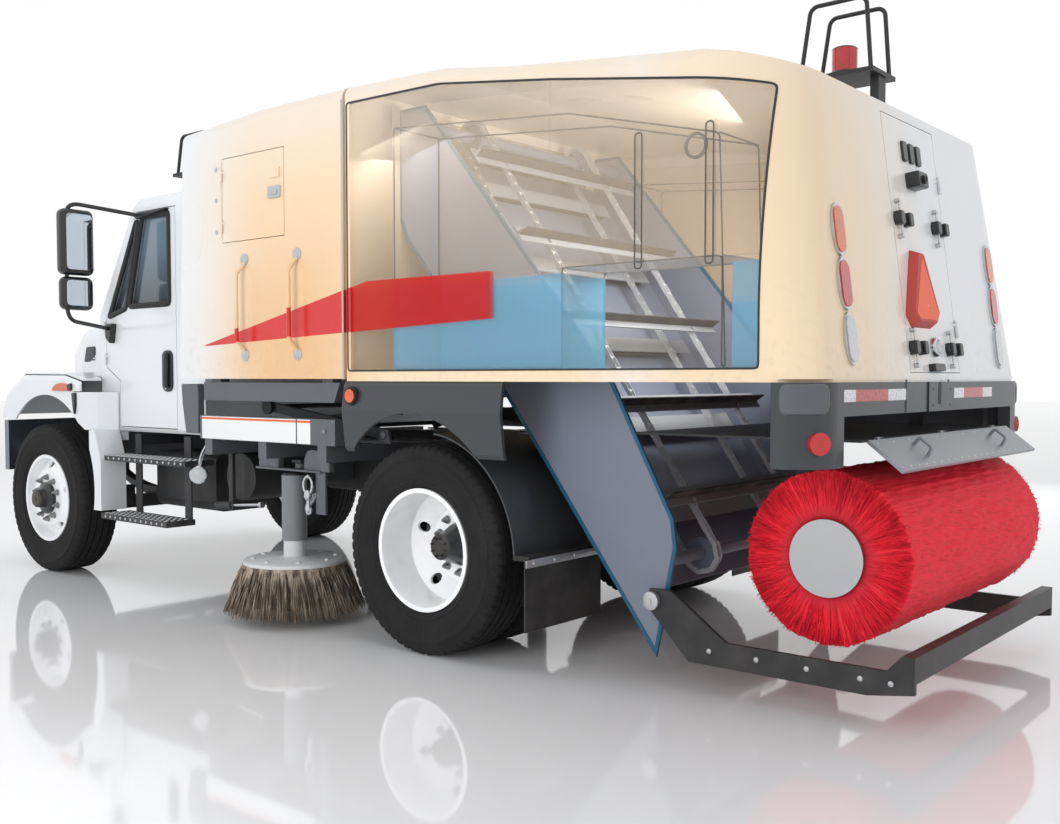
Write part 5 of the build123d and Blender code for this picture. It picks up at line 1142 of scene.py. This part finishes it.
# Bumper and cab steps: a pressed steel bumper with a bright finish, and black treads pierced and dimpled for
# grip, bolted to drop brackets under each door.
bumper_steel = paint("bumper_steel", tone(132, 138, 147), dusty=0.12, roughness=0.2, metallic=0.85)
paint_nodes(bumper_steel, "front_bumper")
step_black = paint("step_black", tone(40, 42, 46), dusty=0.18, roughness=0.45, grain=0.2)
paint_nodes(step_black, "cab_steps")
tread_table = [(-1.630, -0.730, 1.009, 1.169, 0.835, 16), (-1.470, -0.735, 1.019, 1.179, 0.460, 14)]
for side, word in ((1, "left"), (-1, "right")):
    dimples = []
    for start, end, inner, outer, top, count in tread_table:
        for across in np.linspace(inner + 0.018, outer - 0.002, 4):
            for along in np.linspace(start + 0.03, end - 0.03, count):
                spot = (front_axle_x + along, side * across, top - 0.0005)
                dimples.append(turned([(0.017, 0), (0.0145, 0.004), (0.009, 0.004), (0.007, 0.0005),
                                       (0.0, 0.0005)], spot, (0, 0, 1), 12))
        for along in np.linspace(start + 0.04, end - 0.04, count - 2):
            spot = (front_axle_x + along, side * (outer + (0.0 if top > 0.6 else 0.020)), top - 0.017)
            dimples.append(turned([(0.009, -0.001), (0.008, 0.0015), (0.005, 0.0015), (0.0, 0.0005)], spot,
                                  (0, side, 0), 10))
    make_piece("tread_dimples_" + word, dimples, "chassis", rivet_steel)
lamp_centre = np.array(at_rear_axle(2010, 1080, 752))
lamp_way = np.array([-0.62, 0.78, 0.0])
work_lamp = [turned([(0.0, -0.075), (0.022, -0.073), (0.040, -0.055), (0.052, -0.020), (0.055, 0.0),
                     (0.055, 0.012), (0.049, 0.016)], lamp_centre, lamp_way, 28, False),
             rail_along(softened([lamp_centre + (0, 0, 0.04), lamp_centre + (0.0, -0.02, 0.12),
                                  lamp_centre + (0.0, -0.10, 0.235)], 0.04, 5), round_section(0.011, 8))]
make_piece("work_lamp", work_lamp, "chassis", bright_steel)
make_piece("work_lamp_glass", [turned([(0.047, 0.010), (0.045, 0.020), (0.026, 0.026), (0.0, 0.028)],
                                      lamp_centre, lamp_way, 28)], "chassis", clear_lens)

# Hopper trim: a screwed steel hinge strip and a flush latch on the side hatch, and pressed flanges that
# carry the bent grab bars. A thin steel strip closes the hopper's rear edges.
hatch_hinge = plaque([at_rear_axle(x, 1219, z) for x, z in ((1608, 2118), (1548, 2118), (1548, 2536),
                                                            (1608, 2536))], (0, 1, 0), 0.004, 0.0015)
strip_bolts = [button(at_rear_axle(1590, 1222.5, z), (0, 1, 0), 0.013, 0.008) for z in (2153, 2330, 2501)]
make_piece("hatch_hinge_strip", [hatch_hinge], "hopper", hopper_paint)
make_piece("hatch_hinge_bolts", strip_bolts, "hopper", rivet_steel)
latch_outline = [at_rear_axle(x, 1219, z) for x, z in ((1122, 2292), (1016, 2292), (1016, 2356),
                                                       (1122, 2356))]
latch_lever = [at_rear_axle(x, 1229, z) for x, z in ((1104, 2310), (1034, 2310), (1034, 2338),
                                                     (1104, 2338))]
make_piece("hatch_latch", [plaque(softened(latch_outline, 0.010, 4, True), (0, 1, 0), 0.011, 0.004),
                           plaque(softened(latch_lever, 0.008, 4, True), (0, 1, 0), 0.006, 0.003)],
           "hopper_hatch", rivet_steel)
grab_parts = []
for x in (1340, 887):
    for z in (1970, 1472):
        grab_parts.append(turned([(0.034, 0.0), (0.034, 0.005), (0.026, 0.009), (0.016, 0.010), (0.0, 0.010)],
                                 at_rear_axle(x, 1218.5, z + (12 if z > 1700 else -12)), (0, 1, 0), 20))
make_piece("grab_bar_flanges", grab_parts, "hopper", rivet_steel)
cover_strips = []
for side in (1, -1):
    cover_strips.append(rounded_box(at_rear_axle(522, side * 1215, 1336),
                                    at_rear_axle(534, side * 1222, 2725), 0.002))
make_piece("hopper_edge_strips", cover_strips, "hopper", rivet_steel)

# Lift: two pairs of flat steel bars on pins between a base with outriggers and the platform that carries
# the hopper. The base's outer beams have blank white plates with an orange line.
lift_black = paint("lift_black", tone(46, 48, 52), dusty=0.2, roughness=0.4)
panel_grey = paint("panel_grey", tone(84, 88, 94), dusty=0.10, roughness=0.32, coat=0.2, dust_height=1.6)
paint_nodes(lift_black, "lift_arms_outer", "lift_arms_inner")
paint_nodes(panel_grey, "lift_platform", "lift_base")
label_white, wire, shader = new_finish("label_white")
where, x, y, z = places(wire)
line = z.over(1.0985, 1.0995) * (1 - z.over(1.1105, 1.1115))
worn = blot(wire, where, 22.0, 4.0).over(0.62, 0.9) * 0.25
plain = blend_colour(wire, worn, tone(232, 234, 235), tone(176, 172, 166))
feed(wire, shader, Base_Color=blend_colour(wire, line, plain, tone(222, 104, 46)),
     Roughness=0.32 + worn * 0.4)
end_bolts, label_parts, fairing_parts = [], [], []
for side in (1, -1):
    for start, end in ((1760, 909), (897, 790)):
        label = [at_rear_axle(x, side * 1219, z) for x, z in ((start, 988), (end, 988), (end, 1116),
                                                              (start, 1116))]
        label_parts.append(plaque(softened(label, 0.004, 3, True), (0, side, 0), 0.0025, 0.001))
    end_bolts.append(turned([(0.013, 0), (0.013, 0.008), (0.009, 0.010), (0, 0.010)],
                            at_rear_axle(676, side * 1218.5, 1058), (0, side, 0), 6))
    for x, z in ((1772, 1105), (1772, 1000), (612, 1108), (612, 1000)):
        end_bolts.append(button(at_rear_axle(x, side * 1218.5, z), (0, side, 0), 0.006, 0.004))
    fairing = [at_rear_axle(x, side * 1168, z) for x, z in ((2015, 1300), (1845, 1300), (1845, 1010),
                                                            (1972, 1010), (2004, 1180))]
    fairing_parts.append(plaque(softened(fairing, 0.012, 4, True), (0, side, 0), 0.022, 0.006, 0.02))
    fairing_parts.append(rounded_box(at_rear_axle(1870, side * 1168, 1020),
                                     at_rear_axle(1775, side * 1150, 1110), 0.004))
make_piece("blank_plates", label_parts, "chassis", label_white)
make_piece("beam_bolts", end_bolts, "chassis", nut_steel)
make_piece("lift_fairings", fairing_parts, "chassis", panel_grey)
pin_heads = [turned([(0.020, 0), (0.020, 0.006), (0.013, 0.009), (0, 0.009)],
                    at_rear_axle(700, side * 783.5, 1020), (0, side, 0), 6) for side in (1, -1)]
make_piece("lift_pin_heads", pin_heads, "chassis", nut_steel)

# Side broom hangers: a folded steel channel with two rounded ears under each beam, a forged snap hook for
# transport and the bright rod of the swing cylinder, bolted to the outriggers.
for side, word in ((1, "left"), (-1, "right")):
    ear_y = side * 1120
    front_ear = [(1356, 836), (1350, 900), (1325, 944), (1285, 952), (1250, 930), (1215, 836)]
    rear_ear = [(960, 836), (955, 900), (930, 944), (880, 952), (806, 940), (806, 836)]
    hanger = [plaque(softened([at_rear_axle(x, ear_y, z) for x, z in ear], 0.012, 4, True), (0, side, 0),
                     0.008, 0.002) for ear in (front_ear, rear_ear)]
    hanger.append(rounded_box(at_rear_axle(1356, side * 1092, 830), at_rear_axle(800, side * 1150, 842),
                              0.003))
    hanger.append(rounded_box(at_rear_axle(864, side * 1112, 607), at_rear_axle(786, side * 1128, 842),
                              0.004))
    hanger.append(rounded_box(at_rear_axle(1235, side * 1100, 840), at_rear_axle(1165, side * 1142, 900),
                              0.004))
    hanger.append(rounded_box(at_rear_axle(800, side * 1100, 838), at_rear_axle(736, side * 1142, 905),
                              0.004))
    make_piece("broom_hanger_" + word, hanger, "chassis", panel_grey)
    ring = [at_rear_axle(905 + 36 * math.cos(turn), side * 1146, 762 + 46 * math.sin(turn))
            for turn in np.linspace(0, 2 * math.pi, 25)[:-1]]
    hook = [rail_along(ring, round_section(0.0075, 10), True),
            turned([(0.010, -0.02), (0.021, -0.008), (0.024, 0.012), (0.018, 0.030), (0.010, 0.036),
                    (0.009, 0.060), (0.016, 0.072), (0.015, 0.092), (0.006, 0.104), (0.0, 0.106)],
                   at_rear_axle(903, side * 1146, 716), (0.0, 0, -1), 20)]
    tongue = softened([at_rear_axle(903, side * 1146, 668), at_rear_axle(925, side * 1146, 640),
                       at_rear_axle(912, side * 1146, 606), at_rear_axle(884, side * 1146, 612),
                       at_rear_axle(880, side * 1146, 640)], 0.016, 5)
    hook.append(rail_along(tongue, round_section(0.007, 8)))
    hook.append(turned([(0.011, 0), (0.011, 0.030), (0.007, 0.034), (0, 0.034)],
                       at_rear_axle(905, side * 1119, 808), (0, side, 0), 10))
    make_piece("snap_hook_" + word, hook, "chassis", bright_steel)
    rod_parts = [turned([(0.009, 0.0), (0.009, 0.250), (0.016, 0.252), (0.016, 0.280), (0.0, 0.282)],
                        at_rear_axle(1440, side * 1060, 610), (1, 0, -0.08), 16),
                 turned([(0.0, -0.030), (0.018, -0.026), (0.018, -0.002), (0.009, 0.0)],
                        at_rear_axle(1440, side * 1060, 610), (1, 0, -0.08), 16)]
    make_piece("swing_rod_" + word, rod_parts, "chassis", bright_steel)
    rod_bracket = [rounded_box(at_rear_axle(1684, side * 1048, 560), at_rear_axle(1722, side * 1072, 900),
                               0.004),
                   turned([(0.0, 0.0), (0.026, 0.002), (0.026, 0.150), (0.020, 0.156), (0.0, 0.156)],
                          at_rear_axle(1700, side * 1060, 589), (1, 0, -0.08), 18)]
    make_piece("swing_bracket_" + word, rod_bracket, "chassis", chassis_black)
    motor_cap = [turned([(0.060, 0.0), (0.060, 0.010), (0.050, 0.016), (0.020, 0.018), (0.0, 0.018)],
                        (side_x, side * side_y, 0.800), (0, 0, 1), 28)]
    for turn in range(4):
        angle = turn * math.pi / 2 + 0.5
        motor_cap.append(button((side_x + 0.044 * math.cos(angle), side * side_y + 0.044 * math.sin(angle),
                                 0.8155), (0, 0, 1), 0.007, 0.005))
    make_piece("motor_cap_" + word, motor_cap, "side_arm_" + word, hub_black)

# Skirts and rear bumper: folded steel in grey enamel. The bumper has strips of bright tape, a pressed panel
# at each corner and a plate with a slot in its middle.
skirt_grey = paint("skirt_grey", tone(52, 56, 59), dusty=0.06, roughness=0.3, coat=0.15, dust_height=1.35)
paint_nodes(skirt_grey, "skirts", "rear_bumper")
flap_black = paint("flap_black", tone(28, 29, 31), dusty=0.10, roughness=0.55)
paint_nodes(flap_black, "mud_flaps")


def tape_finish(name, colour):
    """Prismatic tape: small hexagon-like cells under a clear film."""
    material, wire, shader = new_finish(name)
    where, x, y, z = places(wire)
    cells = wire.node("TexVoronoi", {"feature": "DISTANCE_TO_EDGE"},
                      {"Vector": where, "Scale": 150.0, "Randomness": 0.15})
    share = cells.over(0.01, 0.10)
    feed(wire, shader, Base_Color=blend_colour(wire, share,
                                               tuple(0.7 * part for part in colour[:3]) + (1.0,), colour),
         Roughness=0.22 + share * 0.1)
    shader.inputs["Coat Weight"].default_value = 0.6
    return material


tape_white = tape_finish("tape_white", tone(226, 228, 230))
tape_red = tape_finish("tape_red", tone(190, 26, 34))
band_face = rear_axle_x - 2.046
white_tape, red_tape = [], []
tape_table = [(1.015, 0.908, 0), (0.908, 0.596, 1), (0.596, 0.402, 0), (-0.103, -0.305, 0),
              (-0.305, -0.567, 1), (-0.567, -0.707, 0)]
for start, end, red in tape_table:
    strip = [(band_face, y, z) for y, z in ((start - 0.001, 1.244), (end + 0.001, 1.244),
                                            (end + 0.001, 1.290), (start - 0.001, 1.290))]
    (red_tape if red else white_tape).append(plaque(strip, (-1, 0, 0), 0.0014, 0.0005, 0.001))
make_piece("bright_tape", white_tape, "chassis", tape_white)
make_piece("red_tape", red_tape, "chassis", tape_red)


def corner_panel(side):
    """A rounded panel bent round the bumper's corner: the angle and the height run over a grid, and the reach
    from the corner's centre rises by a smooth step of the distance to a rounded outline."""
    centre_x, centre_y, reach = rear_axle_x - 1.880, side * 1.069, 0.166
    along = np.linspace(-1, 1, 41)
    rise = np.linspace(-1, 1, 17)
    u, v = np.meshgrid(along, rise, indexing="ij")
    edge = 1 - (np.abs(u) ** 5 + np.abs(v) ** 4)
    lift = np.clip(edge / 0.30, 0, 1)
    lift = lift * lift * (3 - 2 * lift) * 0.010 - 0.002
    back = np.full_like(lift, -0.004)
    angle = math.pi - side * (math.radians(52) + u * math.radians(34))
    points = []
    for out in (lift, back):
        radius = reach + out
        points.append(np.stack([centre_x + radius * np.cos(angle), centre_y + radius * np.sin(angle),
                                1.256 + v * 0.060], -1))
    shape = np.concatenate([points[0], points[1][:, ::-1]], 1)
    faces = grid_faces(len(along), 2 * len(rise), False, True).tolist()
    count = 2 * len(rise)
    faces += [list(reversed(range(count))), [(len(along) - 1) * count + corner for corner in range(count)]]
    return shape, faces


make_piece("corner_panels", [corner_panel(1), corner_panel(-1)], "chassis", panel_grey)
slot_plate = outline_on((band_face - 0.006, 0.027, 1.268), (0, 1, 0), (0, 0, 1),
                        oblong(0.034, 0.100), 0.015)
make_piece("bumper_slot", [plaque(slot_plate, (-1, 0, 0), 0.0012, 0.0005, 0.001)], "chassis",
           rubber_seal)
joint_strips = [rounded_box((band_face - 0.004, y - 0.003, 1.192), (band_face + 0.004, y + 0.003, 1.328),
                            0.001) for y in (0.402, -0.096)]
make_piece("bumper_joints", joint_strips, "chassis", panel_grey)
flap_bolts = []
for side in (1, -1):
    bar = rounded_box(at_rear_axle(-664, side * 645, 492), at_rear_axle(-650, side * 1203, 528), 0.003)
    flap_bolts.append(bar)
    for y in np.linspace(700, 1150, 4):
        flap_bolts.append(button(at_rear_axle(-663.5, side * y, 510), (-1, 0, 0), 0.009, 0.006))
make_piece("flap_clamps", flap_bolts, "chassis", rivet_steel)

# Lamps: moulded lenses in bright bezels and rubber rings, screwed to the walls, with a red beacon on a tray
# at the back and a smoked one behind the cab, each in a bent tube guard.
paint_nodes(chassis_black, "beacon_guards")
lamp_paint, wire, shader = new_finish("lamp_paint")
where, x, y, z = places(wire)
amber_share = z.over(1.195, 1.200) * (1 - z.over(1.30, 1.31)) + z.over(1.79, 1.80) * (1 - z.over(2.3, 2.4))
clear_share = z.over(1.37, 1.38) * (1 - z.over(1.59, 1.60))
smoked_share = z.over(2.3, 2.4) * x.over(0.0, 0.2)
colour = blend_colour(wire, amber_share, tone(204, 20, 26), tone(228, 98, 34))
colour = blend_colour(wire, clear_share, colour, tone(208, 212, 216))
colour = blend_colour(wire, smoked_share, colour, tone(58, 60, 66))
rib = wire.maths("SINE", z * 420.0) * 0.5 + wire.maths("SINE", (x + y) * 300.0) * 0.5
feed(wire, shader, Base_Color=blend_colour(wire, blot(wire, where, 30.0) * 0.35, colour, tone(90, 40, 34)),
     Roughness=0.12 + blot(wire, where, 20.0) * 0.08, Normal=bumped(wire, rib, 0.3, 0.0015))
shader.inputs["Coat Weight"].default_value = 0.8
paint_nodes(lamp_paint, "lamps")
wall_way = np.array([-1.0, 0, 0.135]) / math.hypot(1, 0.135)
wall_up = np.array([0.135, 0, 1.0]) / math.hypot(1, 0.135)


def on_wall(y, z, out=0.0):
    """A point on the leaning rear wall at a height, and out from it."""
    return np.array([rear_axle_x - 2.030 + (z - 1.330) * 0.135, y, z]) + wall_way * out


bezels, rubber_rings = [], []
for side in (1, -1):
    for z in (1.483, 1.694, 1.903):
        oval = [on_wall(side * 0.890 + 0.046 * math.cos(turn), z) + wall_up * 0.096 * math.sin(turn)
                for turn in np.linspace(0, 2 * math.pi, 37)[:-1]]
        bezels.append(rail_along(oval, [(-0.008, -0.012), (-0.008, 0.012), (-0.003, 0.017), (0.004, 0.014),
                                        (0.009, -0.012)], True))
    marker = [at_rear_axle(448 + 38 * math.cos(turn), side * 1236, 1245 + 38 * math.sin(turn))
              for turn in np.linspace(0, 2 * math.pi, 25)[:-1]]
    rubber_rings.append(rail_along(marker, [(-0.005, -0.010), (-0.005, 0.010), (0.005, 0.014),
                                            (0.009, 0.004), (0.009, -0.010)], True))
make_piece("lamp_bezels", bezels, "chassis", bright_steel)
make_piece("marker_rings", rubber_rings, "chassis", rubber_seal)
beacon_parts = []
for centre, base_radius in (((rear_axle_x - 1.580, 0.0, 2.720), 0.074),
                            ((front_axle_x - 1.290, 0.690, 2.640), 0.074)):
    beacon_parts.append(turned([(base_radius, -0.001), (base_radius, 0.016), (0.066, 0.026),
                                (0.0585, 0.028), (0.0585, 0.012)], centre, (0, 0, 1), 32, True))
    beacon_parts.append(turned([(0.0, 0.129), (0.057, 0.129), (0.0595, 0.131), (0.050, 0.139),
                                (0.0, 0.143)], centre, (0, 0, 1), 32))
make_piece("beacon_bases", beacon_parts, "chassis", handle_black)

# Rear door fittings: black rubber pulls over bright rods, a camera, a round lamp and a low catch, with a
# folded orange plate in a raised red frame.
door_fittings, door_rods, door_bright = [], [], []


def pull_latch(y, z, wide=0.150):
    """A rubber pull across the door's edge, with a keeper at each end."""
    strap = outline_on(on_wall(y, z), (0, 1, 0), wall_up, oblong(wide, 0.042), 0.018)
    parts = [plaque(strap, wall_way, 0.022, 0.008)]
    for step in (-0.36, 0.30):
        block = outline_on(on_wall(y + step * wide, z, 0.010), (0, 1, 0), wall_up,
                           oblong(wide * 0.30, 0.060), 0.010)
        parts.append(plaque(block, wall_way, 0.024, 0.007, 0.010))
    return parts


for y in (0.220, -0.220):
    for z in (2.015, 1.462):
        door_fittings += pull_latch(y, z)
        rod_foot = on_wall(y + 0.030, z, 0.016) - wall_up * 0.085
        door_rods.append(turned([(0.0, 0.0), (0.0055, 0.003), (0.0055, 0.167), (0.0, 0.170)], rod_foot,
                                wall_up, 10))
        for end in (0.008, 0.162):
            door_rods.append(turned([(0.011, -0.014), (0.011, 0.004), (0.007, 0.008), (0.0, 0.008)],
                                    rod_foot + wall_up * end, wall_way, 10))
for y in (0.090, 0.010, -0.070):
    box = outline_on(on_wall(y, 2.330), (0, 1, 0), wall_up, oblong(0.050, 0.090), 0.012)
    door_fittings.append(plaque(box, wall_way, 0.012, 0.004))
camera_box = outline_on(on_wall(0.040, 2.200), (0, 1, 0), wall_up, oblong(0.120, 0.070), 0.014)
door_fittings.append(plaque(camera_box, wall_way, 0.060, 0.010))
door_fittings.append(turned([(0.020, 0.0), (0.020, 0.012), (0.014, 0.014), (0.012, 0.009), (0.0, 0.009)],
                            on_wall(0.040, 2.198, 0.058), wall_way, 20))
catch = outline_on(on_wall(0.020, 1.378), (0, 1, 0), wall_up, oblong(0.130, 0.034), 0.008)
door_fittings.append(plaque(catch, wall_way, 0.030, 0.006))
door_bright.append(turned([(0.045, 0.0), (0.045, 0.014), (0.040, 0.024), (0.032, 0.026), (0.028, 0.018),
                           (0.0, 0.016)], on_wall(0.0, 1.470), wall_way, 32))
make_piece("door_latches", door_fittings, "rear_door", handle_black, ("rear_door_fittings",))
make_piece("door_latch_rods", door_rods + door_bright, "rear_door", bright_steel)
lamp_dome = turned([(0.028, 0.0), (0.026, 0.012), (0.014, 0.020), (0.0, 0.022)],
                   on_wall(0.0, 1.470, 0.014), wall_way, 24)
make_piece("door_lamp", [lamp_dome], "rear_door", clear_lens)
sign_red = paint("sign_red", tone(188, 70, 62), dusty=0.04, roughness=0.45, dust_height=1.6)
sign_orange = paint("sign_orange", tone(238, 112, 80), dusty=0.03, roughness=0.5, dust_height=1.6)
sign_middle_y = 0.125
sign_corners = [(-0.035, 0.560), (0.035, 0.560), (0.165, 0.270), (0.115, 0.220), (-0.115, 0.220),
                (-0.165, 0.270)]
frame_outline = softened([on_wall(sign_middle_y + a, 1.330 + b) for a, b in sign_corners], 0.008, 4, True)
make_piece("sign_frame", [plaque(frame_outline, wall_way, 0.040, 0.003, 0.002, 0.026)], "rear_door",
           sign_red, ("slow_sign",))
face_corners = [(-0.010, 0.512), (0.010, 0.512), (0.128, 0.278), (0.100, 0.252), (-0.100, 0.252),
                (-0.128, 0.278)]
face_outline = softened([on_wall(sign_middle_y + a, 1.330 + b, 0.0395) for a, b in face_corners], 0.006, 4,
                        True)
make_piece("sign_face", [plaque(face_outline, wall_way, 0.0020, 0.0008, 0.002)], "rear_door",
           sign_orange)
sign_rivets = [button(on_wall(sign_middle_y, z, 0.0412), wall_way, 0.005, 0.003) for z in (1.790, 1.640)]
make_piece("sign_rivets", sign_rivets, "rear_door", rivet_steel)
